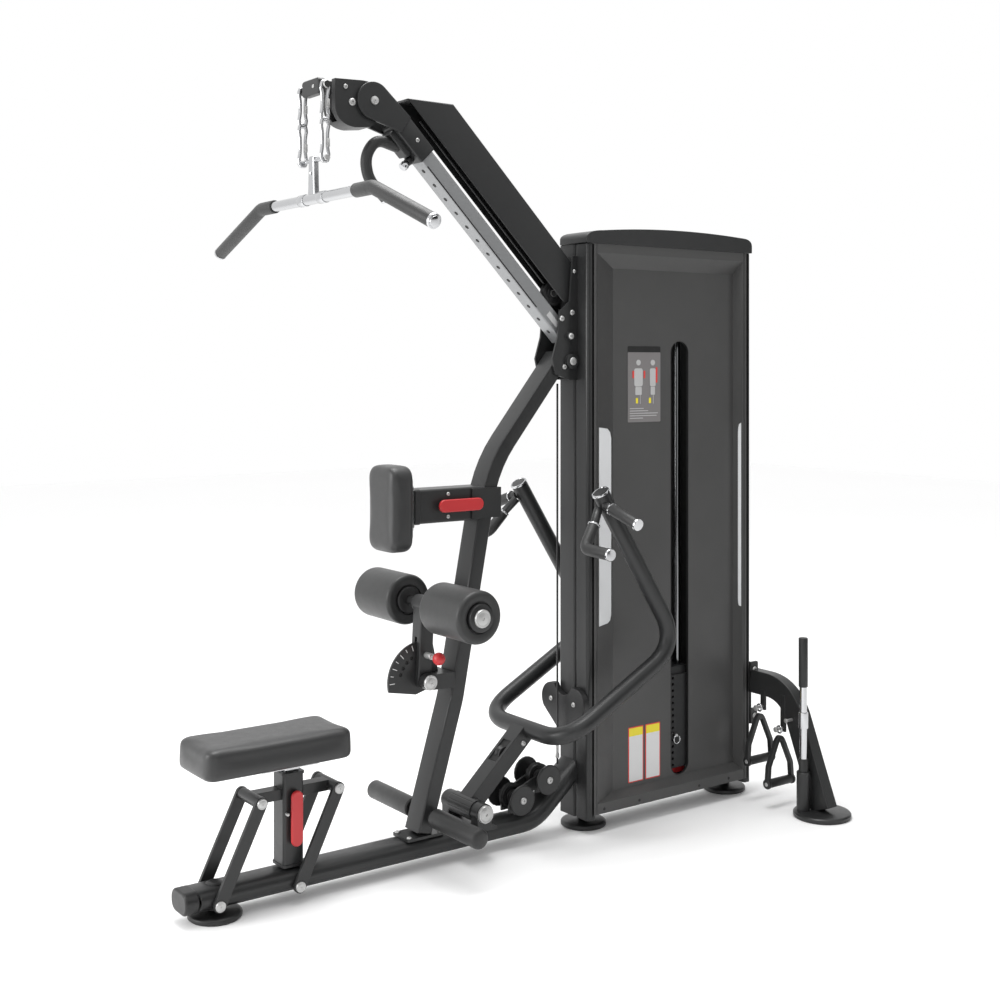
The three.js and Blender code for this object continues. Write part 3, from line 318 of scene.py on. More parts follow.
def pipe(corners, radius, bend=0.0, sides=28, steps=12, soft=0.002):
    """Round bar along corners with smooth bends and softened ends."""
    route = rounded(corners, bend, steps) if bend else [Vector(c) for c in corners]
    first = (route[1] - route[0]).normalized() * soft
    last = (route[-2] - route[-1]).normalized() * soft
    start, end = route[0], route[-1]
    route = ([start, start + first * 0.3, start + first] + route[1:-1]
        + [end + last, end + last * 0.3, end])
    narrow = [radius - soft, radius - soft * 0.3]
    sizes = narrow + [radius] * (len(route) - 4) + narrow[::-1]
    _, side, _ = basis(route[3] - route[2])
    verts, faces = [], []
    for i, point in enumerate(route):
        along = (route[min(i + 1, len(route) - 1)] - route[max(i - 1, 0)]).normalized()
        side = (side - along * side.dot(along)).normalized()
        up = along.cross(side)
        for k in range(sides):
            a = 2 * math.pi * k / sides
            verts.append(tuple(point + (side * math.cos(a) + up * math.sin(a)) * sizes[i]))
    for i in range(len(route) - 1):
        for k in range(sides):
            j = (k + 1) % sides
            faces.append([i * sides + k, i * sides + j, (i + 1) * sides + j, (i + 1) * sides + k])
    last_ring = (len(route) - 1) * sides
    return verts, faces + [list(range(sides))[::-1], list(range(last_ring, last_ring + sides))]


def ring(at, direction, radius, wire, sides=40, around=14):
    """A closed ring of round wire."""
    along, side, up = basis(direction)
    verts = []
    for i in range(sides):
        a = 2 * math.pi * i / sides
        out = side * math.cos(a) + up * math.sin(a)
        for k in range(around):
            b = 2 * math.pi * k / around
            point = Vector(at) + out * (radius + wire * math.cos(b))
            verts.append(tuple(point + along * wire * math.sin(b)))
    return verts, hoop_faces(sides, around)


def prism(points, shift):
    """Solid swept from a flat row of corners along one straight shift."""
    verts = [tuple(Vector(p)) for p in points] + [tuple(Vector(p) + Vector(shift)) for p in points]
    return verts, block_faces(len(points))


# ---- pieces ----
def to_mesh(name, solids):
    verts, faces = [], []
    for points, polygons in solids:
        start = len(verts)
        verts += points
        faces += [[start + i for i in polygon] for polygon in polygons]
    data = bpy.data.meshes.new(name)
    data.from_pydata(verts, [], faces)
    shape = bmesh.new()
    shape.from_mesh(data)
    bmesh.ops.recalc_face_normals(shape, faces=shape.faces)
    shape.to_mesh(data)
    shape.free()
    return data


def soften(obj, bevel, segments=3, angle=40):
    """Smooth shading with a rounded edge wherever two faces meet sharply."""
    obj.data.shade_smooth()
    obj.data.set_sharp_from_angle(angle=math.radians(angle))
    if bevel:
        edge = obj.modifiers.new("edge", "BEVEL")
        edge.width = bevel
        edge.segments = segments
        edge.limit_method = "ANGLE"
        edge.angle_limit = math.radians(angle)
        edge.harden_normals = True
        even = obj.modifiers.new("even", "WEIGHTED_NORMAL")
        even.keep_sharp = True


def dress(obj, body, look, replaces=()):
    obj.data.materials.clear()
    obj.data.materials.append(LOOKS[look])
    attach(obj, body)
    if replaces:
        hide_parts(*replaces)
    return obj


def piece(name, body, look, *solids, bevel=0.001, segments=3, angle=40, replaces=(), holes=()):
    obj = bpy.data.objects.new(name, to_mesh(name, solids))
    bpy.context.scene.collection.objects.link(obj)
    for tool in holes:
        carve(obj, tool)
    soften(obj, bevel, segments, angle)
    return dress(obj, body, look, replaces)


def carve(obj, solid):
    """Cuts one solid out of obj and applies the cut."""
    tool = bpy.data.objects.new("tool", to_mesh("tool", [solid]))
    bpy.context.scene.collection.objects.link(tool)
    step = obj.modifiers.new("cut", "BOOLEAN")
    step.object = tool
    step.solver = "EXACT"
    bpy.context.view_layer.update()
    shaped = obj.evaluated_get(bpy.context.evaluated_depsgraph_get())
    data = bpy.data.meshes.new_from_object(shaped)
    obj.modifiers.remove(step)
    obj.data = data
    bpy.data.objects.remove(tool)


def refined(node, bevel=0.0012):
    """The CAD node's own shape with clean faces, rounded edges and smooth round surfaces."""
    shape = bmesh.new()
    shape.from_mesh(frame["nodes"][node].data)
    bmesh.ops.remove_doubles(shape, verts=shape.verts, dist=2e-5)
    bmesh.ops.dissolve_limit(shape, angle_limit=math.radians(0.6), verts=shape.verts, edges=shape.edges,
        delimit=set())
    bmesh.ops.recalc_face_normals(shape, faces=shape.faces)
    data = bpy.data.meshes.new(node + "_finished")
    shape.to_mesh(data)
    shape.free()
    obj = bpy.data.objects.new(node + "_finished", data)
    bpy.context.scene.collection.objects.link(obj)
    soften(obj, bevel, 2, 48)
    return dress(obj, NODE_BODY[node], NODE_SLOT[node], [node])


def centre(node):
    """The middle of a CAD node's box."""
    low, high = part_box(node)
    return [(a + b) / 2 for a, b in zip(low, high)]


def turned(name, body, look, profile, *placing, replaces=(), **more):
    """One piece turned from a profile, its edges already in the profile."""
    return piece(name, body, look, lathe(profile, *placing, **more), bevel=0, replaces=replaces)


def screw(name, body, at, direction, radius=0.012, height=0.0045, look="steel"):
    """Button-head screw with a hexagonal socket."""
    profile = [(0, 0), (radius, 0), (radius, height * 0.35), (radius * 0.9, height * 0.75),
        (radius * 0.7, height * 0.95), (radius * 0.42, height), (0, height)]
    hexagon = lathe([(0, height * 0.35), (radius * 0.34, height * 0.35), (radius * 0.34, height * 2),
        (0, height * 2)], at, direction, 6)
    return piece(name, body, look, lathe(profile, at, direction, 40), holes=[hexagon], bevel=0)


def cap(name, body, at, direction, radius, height=0.006, look="steel"):
    """Turned end cap with concentric rings and a small centre."""
    profile = [(0, 0), (radius, 0), (radius, height * 0.55), (radius * 0.93, height * 0.9),
        (radius * 0.8, height), (radius * 0.72, height * 0.9), (radius * 0.66, height),
        (radius * 0.16, height), (radius * 0.12, height * 0.7), (0, height * 0.7)]
    return turned(name, body, look, profile, at, direction, 56)


SIDES = (("near", -1), ("far", 1))


# ---- base rail, feet and foot pegs ----
def foot(node):
    low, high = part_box(node)
    x, y, _ = centre(node)
    radius = (high.x - low.x) / 2
    profile = [(0, 0), (radius - 0.004, 0), (radius, 0.004), (radius, 0.012), (radius - 0.003, 0.016),
        (radius - 0.011, 0.018), (0.03, 0.019), (0.019, 0.022), (0.017, high.z), (0, high.z)]
    turned(node + "_pad", "frame", "plastic", profile, (x, y, 0), sides=72, replaces=[node])


def base():
    refined("base_rail", 0)
    low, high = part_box("rail_end_cap")
    lip = 0.008
    outline = round_rect(low.y + 0.0004, high.y - 0.0004, low.z + 0.0004, high.z - 0.0004, 0.0285)
    piece("rail_end_plug", "frame", "plastic", slab("yz", outline, low.x, high.x + lip), bevel=0.006,
        segments=4, replaces=["rail_end_cap"])
    for node in ("front_foot", "tower_foot_left", "tower_foot_right"):
        foot(node)
    top = 0.092
    hub = [(0, 0), (0.026, 0), (0.026, 0.002), (0.024, 0.0035), (0.018, 0.006), (0.012, 0.0065),
        (0, 0.0065)]
    turned("rail_hub", "frame", "plastic", hub, (0.0, 0, top - 0.001))
    for side, sign in SIDES:
        node = "foot_peg_" + side
        low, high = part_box(node)
        x, _, z = centre(node)
        radius = (high.x - low.x) / 2
        inner, outer = sorted((low.y, high.y), key=abs)
        length = abs(outer - inner)
        profile = [(0.0165, 0), (radius - 0.004, 0), (radius, 0.004), (radius, length - 0.008),
            (radius - 0.003, length - 0.003), (radius - 0.009, length), (0, length)]
        turned(node + "_grip", "frame", "rubber", profile, (x, inner, z), (0, sign, 0), 56,
            replaces=[node])
        for i in (-1, 1):
            screw(f"post_flange_screw_{side}_{i + 1}", "frame", (0.656 + i * 0.054, sign * 0.034, 0.1002),
                (0, 0, 1), 0.008)


base()


# ---- front post and chest pad ----
def chest():
    refined("front_post", 0.0015)
    axis_z = centre("chest_tube")[2]
    sleeve_x = 0.624
    refined("chest_tube", 0.001)
    collar = tile("yz", -0.043, 0.043, axis_z - 0.053, axis_z + 0.053, 0.009, sleeve_x - 0.006,
        sleeve_x + 0.012)
    piece("chest_sleeve_collar", "frame", "plastic", collar,
        holes=[box(0, 1, -0.0312, 0.0312, axis_z - 0.0392, axis_z + 0.0392)])
    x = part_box("chest_tube")[0].x
    for i, sign in enumerate((-1, 1)):
        z = axis_z + sign * 0.054
        for tag, y in (("", -0.036), ("back_", 0.036)):
            piece(f"chest_plate_bolt_{tag}{i}", "chest_support", "steel",
                rod((x + 0.006, y, z), (x + 0.014, y, z), 0.008))
        screw(f"chest_clamp_screw_{i}", "frame", (0.735, -0.041, axis_z + sign * 0.034), (0, -1, 0),
            0.006, 0.004)
    low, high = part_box("chest_lever")
    z = centre("chest_lever")[2]
    half = (high.z - low.z) / 2
    paddle = stadium(low.x + half, z, high.x - half, z, half)
    piece("chest_lever_paddle", "chest_lock", "red", slab("xz", paddle, low.y, low.y + 0.011),
        bevel=0.0035, segments=4, replaces=["chest_lever"])
    piece("chest_lever_stud", "chest_lock", "steel",
        lever_stud(PIVOTS["chest_lever_pull"].x, z, low.y + 0.009, high.y, 0.0068), bevel=0)


chest()


# ---- padded pieces ----
CLOTH_FRAMES = 20


def pad_form(name, plane, outline, low, high, crown, voxel=0.005):
    """Closed block with soft edges, remeshed evenly, ready to be inflated."""
    obj = bpy.data.objects.new(name, to_mesh(name, [slab(plane, outline, low, high)]))
    bpy.context.scene.collection.objects.link(obj)
    edge = obj.modifiers.new("edge", "BEVEL")
    edge.width = crown
    edge.segments = 6
    edge.limit_method = "ANGLE"
    edge.angle_limit = math.radians(60)
    even = obj.modifiers.new("even", "REMESH")
    even.mode = "VOXEL"
    even.voxel_size = voxel
    return bake(obj)


def bake(obj):
    """Applies every modifier."""
    bpy.context.view_layer.update()
    data = bpy.data.meshes.new_from_object(obj.evaluated_get(bpy.context.evaluated_depsgraph_get()))
    obj.modifiers.clear()
    obj.data = data
    return obj


def inflate(obj, held, limit, pressure=4.0):
    """Cloth under pressure, held where the cover is stapled to its board; travel is limited."""
    start = [v.co.copy() for v in obj.data.vertices]
    group = obj.vertex_groups.new(name="held")
    group.add([v.index for v in obj.data.vertices if held(v.co)], 1, "REPLACE")
    cloth = obj.modifiers.new("cloth", "CLOTH")
    settings = cloth.settings
    settings.quality = 5
    settings.mass = 0.4
    settings.tension_stiffness = 25
    settings.compression_stiffness = 25
    settings.shear_stiffness = 10
    settings.bending_stiffness = 4
    settings.use_pressure = True
    settings.uniform_pressure_force = pressure
    settings.effector_weights.gravity = 0
    settings.vertex_group_mass = "held"
    cloth.point_cache.frame_start = 1
    cloth.point_cache.frame_end = CLOTH_FRAMES
    scene = bpy.context.scene
    for step in range(1, CLOTH_FRAMES + 1):
        scene.frame_set(step)
    bake(obj)
    scene.frame_set(1)
    travel = even_out(obj.data, [v.co - before for v, before in zip(obj.data.vertices, start)])
    for vertex, before, move in zip(obj.data.vertices, start, travel):
        vertex.co = before + (move.normalized() * limit if move.length > limit else move)
    return obj


def even_out(data, travel, rounds=40):
    """Averages each point's travel with its neighbours', as a firm foam core under the cover does."""
    count = len(travel)
    ends = np.array([edge.vertices[:] for edge in data.edges])
    moved = np.array([move[:] for move in travel])
    shares = np.bincount(ends.ravel(), minlength=count)[:, None]
    for _ in range(rounds):
        total = np.zeros_like(moved)
        np.add.at(total, ends[:, 0], moved[ends[:, 1]])
        np.add.at(total, ends[:, 1], moved[ends[:, 0]])
        moved = 0.5 * moved + 0.5 * total / shares
    return [Vector(move) for move in moved]


def finish_pad(obj, body, node):
    smooth = obj.modifiers.new("calm", "CORRECTIVE_SMOOTH")
    smooth.factor = 0.5
    smooth.iterations = 4
    smooth.use_only_smooth = True
    smoother = obj.modifiers.new("level", "SMOOTH")
    smoother.factor = 0.5
    smoother.iterations = 3
    bake(obj)
    finer = obj.modifiers.new("finer", "SUBSURF")
    finer.levels = 1
    finer.render_levels = 1
    obj.data.shade_smooth()
    dress(obj, body, "vinyl", [node])


def seat_cushion():
    low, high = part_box("seat_cushion")
    outline = round_rect(low.x - 0.003, high.x + 0.003, low.y - 0.003, high.y + 0.003, 0.03)
    pad = pad_form("seat_cushion_cover", "xy", outline, low.z + 0.001, high.z + 0.003, 0.014)
    inflate(pad, lambda co: co.z < low.z + 0.009, 0.0035)
    finish_pad(pad, "seat", "seat_cushion")
    board = round_rect(low.x + 0.016, high.x - 0.016, low.y + 0.016, high.y - 0.016, 0.03)
    piece("seat_board", "seat", "plastic", slab("xy", board, low.z + 0.0005, low.z + 0.008), bevel=0.002)


def chest_cushion():
    low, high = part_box("chest_pad")
    outline = round_rect(low.y - 0.003, high.y + 0.003, low.z - 0.009, high.z + 0.009, 0.036)
    pad = pad_form("chest_pad_cover", "yz", outline, low.x - 0.002, high.x - 0.004, 0.017)
    inflate(pad, lambda co: co.x > high.x - 0.009, 0.0025)
    finish_pad(pad, "chest_support", "chest_pad")
    board = round_rect(low.y + 0.014, high.y - 0.014, low.z + 0.014, high.z - 0.014, 0.026)
    piece("chest_board", "chest_support", "plastic", slab("yz", board, high.x - 0.006, high.x),
        bevel=0.0015)


seat_cushion()
chest_cushion()


# ---- seat carriage and its links ----
def seat_linkage():
    low_pivot = PIVOTS["seat_swing"]
    high_pivot = PIVOTS["seat_level"]
    spread = PIVOTS["rear_link_swing"].x - low_pivot.x
    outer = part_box("front_links")[1].y - 0.003
    inner = outer - 0.011
    half = 0.018
    for node, shift in (("front_links", 0), ("rear_links", spread)):
        body = NODE_BODY[node]
        ax, az = low_pivot.x + shift, low_pivot.z
        bx, bz = high_pivot.x + shift, high_pivot.z
        bars = [slab("xz", stadium(ax, az, bx, bz, half), *on_side(s, inner, outer)) for _, s in SIDES]
        piece(node + "_bars", body, "coat", *bars, across(ax, az, -outer, outer, 0.008), bevel=0.0012,
            replaces=[node])
        for side, sign in SIDES:
            cap(f"{node}_low_{side}", body, (ax, sign * outer, az), (0, sign, 0), 0.0148, 0.005)
            cap(f"{node}_high_{side}", "seat_frame", (bx, sign * (outer + 0.0005), bz), (0, sign, 0),
                0.0148, 0.005)
            for tag, x, z, owner in (("low", ax, az, body), ("high", bx, bz, "seat_frame")):
                piece(f"{node}_{tag}_washer_{side}", owner, "plastic",
                    across(x, z, *on_side(sign, inner - 0.004, inner), 0.0155))
    refined("seat_carriage", 0.0015)
    refined("seat_post", 0.001)
    low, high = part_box("seat_carriage")
    x = centre("seat_post")[0] + 0.02
    for tag, z in (("top", high.z - 0.004), ("bottom", low.z - 0.002)):
        piece(f"seat_sleeve_bush_{tag}", "seat_frame", "plastic",
            tile("xy", x - 0.0345, x + 0.0345, -0.0365, 0.0365, 0.01, z, z + 0.008),
            holes=[box(x - 0.0235, x + 0.0235, -0.0235, 0.0235, z - 1, z + 1)])
    low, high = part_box("seat_lever")
    middle = centre("seat_lever")[0]
    half = (high.x - low.x) / 2
    pivot = PIVOTS["seat_lever_pull"]
    paddle = stadium(middle, low.z + half, middle, high.z - half, half - 0.0005)
    piece("seat_lever_paddle", "seat_lock", "red", slab("xz", paddle, low.y, low.y + 0.011), bevel=0.0035,
        segments=4, replaces=["seat_lever"])
    piece("seat_lever_stud", "seat_lock", "steel",
        lever_stud(pivot.x, pivot.z, low.y + 0.009, high.y, 0.0065), bevel=0)
    piece("seat_lever_rest", "seat_frame", "steel", across(x - 0.024, 0.25, -0.0475, -0.034, 0.004),
        bevel=0)


seat_linkage()


# ---- thigh rollers ----
def roller(side, sign):
    node = "thigh_roller_" + side
    low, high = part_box(node)
    x, _, z = centre(node)
    radius = (high.x - low.x) / 2
    inner, outer = sorted((low.y, high.y), key=abs)
    length = abs(outer - inner) - 0.007
    body = NODE_BODY[node]
    soft, well, bore = 0.013, 0.046, 0.0136
    turn_in = [math.radians(a) for a in range(0, 91, 10)]
    start = [(radius - soft + soft * math.sin(a), soft - soft * math.cos(a)) for a in turn_in]
    rim = [(radius - soft + soft * math.sin(a), length - soft + soft * math.cos(a))
        for a in turn_in[::-1]]
    near_well = [(bore, 0.008), (well, 0.008), (well + 0.001, 0.001), (well + 0.004, 0)]
    far_well = [(well + 0.004, length), (well, length - 0.002), (well - 0.001, length - 0.008),
        (bore, length - 0.008), (bore, 0.008)]
    profile = near_well + start + rim + far_well
    foam = turned(node + "_foam", body, "foam", profile, (x, inner, z), (0, sign, 0), 96, replaces=[node])
    drum = [(bore, 0), (0.0415, 0), (0.0415, 0.013), (0.04, 0.0165), (0.037, 0.018), (bore, 0.018),
        (bore, 0)]
    turned(node + "_end_disc", body, "plastic", drum, (x, outer - sign * 0.0152, z), (0, sign, 0), 64)
    turned(node + "_inner_disc", body, "plastic", drum, (x, inner + sign * 0.0125, z), (0, -sign, 0), 64)
    cap(node + "_cap", "roller_arm", (x, outer + sign * 0.0025, z), (0, sign, 0), 0.0265, 0.0075)


def quadrant(pivot):
    """Sector plate with pin holes, between two lugs on the post."""
    x, z = pivot.x, pivot.z
    sector = ([(x + 0.06, z - 0.02), (x + 0.06, z + 0.018)] + arc(x, z, 0.116, 70, 192, 60)
        + [(x - 0.02, z - 0.042)])
    holes, hole_shade_discs = [], []
    for degrees in (87, 117, 132, 147, 162):
        bearing = math.radians(degrees)
        at = (x + 0.077 * math.cos(bearing), z + 0.077 * math.sin(bearing))
        holes.append(across(*at, -0.02, 0.02, 0.006, 0.0001))
        hole_shade_discs.append(across(*at, -0.0015, 0.0015, 0.0059, 0.0001))
    # dark discs set inside the through holes are painted shade, not a real floor
    piece("quadrant_hole_painted_shade", "frame", "dark", *hole_shade_discs, bevel=0)
    piece("quadrant_plate", "frame", "coat", slab("xz", sector, -0.004, 0.004), holes=holes, bevel=0.0008,
        segments=2, replaces=["quadrant_bracket"])
    rim = [(0.752, z - 0.026), (0.752, z + 0.020)] + arc(x, z, 0.023, 92, 268, 36)
    lugs = [slab("xz", rim, *on_side(s, 0.026, 0.052)) for _, s in SIDES]
    piece("quadrant_lugs", "frame", "coat", *lugs, box(0.708, 0.752, -0.05, 0.05, z - 0.026, z + 0.020),
        across(x, z, -0.0515, 0.0515, 0.01), bevel=0.002)


def thigh():
    for side, sign in SIDES:
        roller(side, sign)
    refined("thigh_arm", 0.0012)
    pivot = PIVOTS["roller_swing"]
    quadrant(pivot)
    for side, sign in SIDES:
        cap(f"thigh_pivot_cap_{side}", "frame", (pivot.x, sign * 0.0525, pivot.z), (0, sign, 0), 0.0225,
            0.007)
    ticks = []
    for i in range(9):
        angle = math.radians(84 + i * 12)
        half = Vector((-math.sin(angle), 0, math.cos(angle))) * 0.0009
        out = Vector((math.cos(angle), 0, math.sin(angle)))
        for y in (-0.0046, 0.004):
            middle = Vector((pivot.x, y, pivot.z))
            start = 0.094 if i % 2 == 0 else 0.1
            corners = [middle + out * start - half, middle + out * 0.111 - half,
                middle + out * 0.111 + half, middle + out * start + half]
            ticks.append(prism(corners, (0, 0.0006, 0)))
    piece("quadrant_scale", "frame", "white", *ticks, bevel=0)
    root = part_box("thigh_pin")[1].y
    x, _, z = centre("thigh_pin")
    piece("thigh_pin_shank", "roller_pop_pin", "steel", across(x, z, root - 0.02, root, 0.005, 0.002),
        across(x, z, -0.088, -0.03, 0.005), bevel=0, replaces=["thigh_pin"])
    piece("thigh_pin_barrel", "roller_arm", "steel", across(x, z, -0.056, -0.0235, 0.0095, 0.001),
        bevel=0)
    ball = 0.019
    knob = [(0, -ball)] + [(ball * math.cos(math.radians(a)), ball * math.sin(math.radians(a)))
        for a in range(-66, 90, 12)] + [(0, ball)]
    turned("thigh_pin_knob", "roller_pop_pin", "red", knob, (x, -0.0925, z), (0, -1, 0), 40)


thigh()


# ---- weight tower ----
RECESS_DEPTH = 0.036
LEFT_WALL = 0.097
WINDOW_LOW, WINDOW_HIGH = 0.660, 1.300
SLOT = (1.622, 1.703, 0.114, 1.580)


def shroud():
    low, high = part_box("front_shroud")
    floor = low.y + RECESS_DEPTH
    front = low.y
    left, right, bottom, top = 1.269, 1.928, 0.094, 1.860

    def rim(share):
        """The tapered recess's outline, a share of the way in from its rim."""
        x0, x1 = left + LEFT_WALL * share, right - 0.012 * share
        z0, z1 = bottom + 0.018 * share, top - 0.045 * share
        return [(x0, z0), (x1, z0), (x1, z1), (x0, z1)]

    near, far = rim(-0.3), rim(1)
    mouth = front - 0.3 * RECESS_DEPTH
    well = ([(x, mouth, z) for x, z in near] + [(x, floor, z) for x, z in far],
        [[3, 2, 1, 0], [4, 5, 6, 7]] + [[i, (i + 1) % 4, 4 + (i + 1) % 4, 4 + i] for i in range(4)])
    slot_cut = slab("xz", round_rect(*SLOT, 0.039, 14), front - 0.02, high.y + 0.1)
    hollow = box(left - 0.008, right + 0.012, floor + 0.004, high.y + 0.1, low.z + 0.021, high.z - 0.006)

    def window(edge, inner):
        lean = (edge - inner) * 0.3
        outline = [(edge, WINDOW_LOW), (inner + lean, 0.662), (inner + lean * 0.3, 0.670), (inner, 0.688),
            (inner, 1.262), (inner + lean * 0.3, 1.282), (inner + lean, 1.294), (edge, WINDOW_HIGH)]
        return slab("xz", outline, front - 0.005, high.y + 0.1)

    trim_back = box(low.x - 1, high.x + 1, high.y, high.y + 1, -1, 3)
    foot = low.z
    gap = 0.0016
    for tag, x0, x1 in (("left", low.x, left - gap), ("right", right + 0.007, high.x)):
        piece(f"tower_edge_{tag}", "frame", "coat", slab("xy", round_rect(x0, x1, front, high.y, 0.0115),
            foot, high.z - 0.001), bevel=0.0015, segments=2, angle=50)
    grooves = [box(left - gap, left + 0.0002, front - 0.1, front + 0.014, 0, 3),
        box(right + 0.005, right + 0.007 + gap, front - 0.1, front + 0.014, 0, 3)]
    body = slab("xy", [(left - 0.02, front), (right + 0.025, front), (right + 0.025, high.y),
        (left - 0.02, high.y)], foot + 0.015, high.z)
    piece("front_shroud_panel", "frame", "panel", body, bevel=0.0022, segments=3, angle=20,
        holes=[well, hollow, slot_cut, window(1.281, 1.357), window(1.9265, 1.9222), trim_back, *grooves],
        replaces=["front_shroud"])
    trim = slab("xz", round_rect(*SLOT, 0.039, 20), floor - 0.0012, floor + 0.008)
    lip = 0.0016
    inner = round_rect(SLOT[0] + lip, SLOT[1] - lip, SLOT[2] + lip, SLOT[3] - lip, 0.039 - lip, 20)
    opening = slab("xz", inner, floor - 0.02, floor + 0.02)
    piece("slot_trim", "frame", "plastic", trim, holes=[opening], bevel=0.0004, segments=2)
    lean = RECESS_DEPTH / LEFT_WALL
    for tag, x0, x1, y0, y1 in (("left", 1.2815, 1.3565, -0.0946, -0.0946 + 0.075 * lean),
            ("right", 1.9264, 1.9223, -0.0940, -0.0817)):
        rows = [(0.6605, 0), (0.6625, 0.7), (0.670, 0.91), (0.6885, 1), (1.2615, 1), (1.2815, 0.91),
            (1.2935, 0.7), (1.2995, 0)]
        skin = [Vector((x0 + (x1 - x0) * t, y0 + (y1 - y0) * t, z)) for z, t in rows]
        piece(f"window_insert_{tag}", "frame", "insert", prism(skin, (0, 0.003, 0)), bevel=0)
    # dark sheets behind the slot's edges are painted shade, keeping the tower's inside dim
    piece("slot_painted_shade_left", "frame", "dark", box(1.513, 1.5145, floor + 0.0048, high.y, 0.11, 1.82),
        bevel=0.0003)
    piece("slot_painted_shade_right", "frame", "dark", box(1.7695, 1.771, floor + 0.0048, 0.043, 0.112, 1.82),
        bevel=0.0003)
    return floor


def placard(floor):
    """Exercise placard: plain figures and lines with no lettering."""
    x0, x1, z0, z1 = 1.430, 1.574, 1.311, 1.562
    y = floor - 0.0012
    width = x1 - x0
    for tag, look, low, high in (("plate", "placard", z0, z1 - 0.02),
            ("header", "dark", z1 - 0.0195, z1)):
        piece("placard_" + tag, "frame", look, tile("xz", x0, x1, low, high, 0.004, y, floor),
            bevel=0.0002, segments=1)
    thin = 0.0006

    def flat(outline):
        return slab("xz", outline, y - thin, y + 0.0002)

    def figure(cx, half):
        torso = round_rect(cx - half, cx + half, z0 + 0.118, z0 + 0.178, half * 0.45)
        hips = round_rect(cx - half * 0.75, cx + half * 0.75, z0 + 0.09, z0 + 0.1165, half * 0.2)
        return [flat(disc(cx, z0 + 0.197, 0.0095, 24)), flat(torso), flat(hips)]

    figures = figure(x0 + width * 0.32, 0.0185) + figure(x0 + width * 0.76, 0.0125)
    lines = [flat(round_rect(x0 + 0.008, x0 + 0.008 + width * length, z0 + 0.012 + i * 0.008,
        z0 + 0.0145 + i * 0.008, 0.0008, 3)) for i, length in enumerate((0.4, 0.82, 0.86, 0.56, 0.42))]
    frames = [flat(round_rect(x0 + width * at, x0 + width * at + 0.0015, z0 + 0.06, z0 + 0.09, 0.0004, 2))
        for at in (0.37, 0.77)]
    piece("placard_print", "frame", "ink", *figures, *lines, *frames, bevel=0)
    for i, (at, low, high) in enumerate(((0.135, 0.145, 0.17), (0.475, 0.145, 0.17),
            (0.85, 0.13, 0.182))):
        x = x0 + width * at
        mark = tile("xz", x, x + 0.007, z0 + low, z0 + high, 0.003, y - thin * 2, y)
        piece(f"placard_mark_{i}", "frame", "crimson", mark, bevel=0)
    accents = [tile("xz", x0 + width * at, x0 + width * at + 0.009, z0 + 0.062, z0 + 0.08, 0.002,
        y - thin, y) for at in (0.24, 0.64)]
    piece("placard_accent", "frame", "yellow", *accents, bevel=0)


def labels(floor):
    """Two blank care labels with a coloured header and border."""
    y = floor - 0.0008
    for i, (x0, x1) in enumerate(((1.432, 1.498), (1.507, 1.573))):
        z0, z1 = 0.124, 0.306
        edge, header = 0.0035, z1 - 0.03
        piece(f"label_border_{i}", "frame", "crimson", tile("xz", x0, x1, z0, z1, 0.003, y, floor),
            bevel=0)
        for tag, look, low, high in (("face", "white", z0 + edge, header),
                ("header", "yellow", header, z1 - edge)):
            sheet = tile("xz", x0 + edge, x1 - edge, low, high, 0.001, y - 0.0004, y)
            piece(f"label_{tag}_{i}", "frame", look, sheet, bevel=0)


def crown():
    low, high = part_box("crown_cap")
    x0, x1 = low.x, high.x
    outline = [(x0, low.z), (x1, low.z), (x1, 1.915)]
    outline += curve((x1, 1.915), (x1 - 0.002, 1.938), (x1 - 0.04, 1.940), 8)
    outline += curve((x1 - 0.04, 1.940), (1.6, high.z + 0.011), (x0 + 0.07, 1.933), 24)
    outline += curve((x0 + 0.07, 1.933), (x0 + 0.003, 1.93), (x0, 1.908), 8)
    outline += [(x0, 1.905)]
    hollow = box(x0 + 0.005, x1 - 0.005, low.y + 0.004, high.y - 0.005, low.z - 0.1, low.z + 0.015)
    piece("crown_cap_shell", "frame", "coat", slab("xz", outline, low.y, high.y), bevel=0.0035,
        segments=4, angle=50, holes=[hollow], replaces=["crown_cap"])


def curve(a, b, c, steps):
    """Points after a on the smooth bend from a to c that leans towards b."""
    points = []
    for i in range(1, steps + 1):
        t = i / steps
        points.append(tuple(p * (1 - t) ** 2 + q * 2 * t * (1 - t) + r * t * t for p, q,
            r in zip(a, b, c)))
    return points


def tower():
    floor = shroud()
    placard(floor)
    labels(floor)
    crown()
    refined("tower_frame", 0.001)
    refined("rear_cover", 0.0018)
    for node in ("guide_rod_left", "guide_rod_right"):
        low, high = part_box(node)
        x, y, _ = centre(node)
        piece(node + "_bar", "frame", "chrome_in_shade", rod((x, y, low.z), (x, y, high.z), (high.x - low.x) / 2),
            bevel=0, replaces=[node])
        for tag, z in (("low", low.z), ("high", high.z - 0.022)):
            turned(f"{node}_collar_{tag}", "frame", "steel",
                [(0.0122, 0), (0.02, 0), (0.021, 0.001), (0.021, 0.021), (0.02, 0.022), (0.0122, 0.022),
                (0.0122, 0)], (x, y, z))
    low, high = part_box("tower_frame")
    for i, x in enumerate((low.x + 0.03, high.x - 0.03)):
        for k, z in enumerate((0.36, 1.64)):
            screw(f"rear_cover_screw_{i}_{k}", "frame",
                (x + (0.015 if i == 0 else -0.015), high.y + 0.006, z), (0, 1, 0), 0.008)
    for i, x in enumerate((1.30, 1.45, 1.72, 1.86)):
        screw(f"shroud_low_screw_{i}", "frame", (x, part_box("front_shroud")[0].y, 0.074), (0, -1, 0),
            0.005, 0.002, "plastic")


tower()


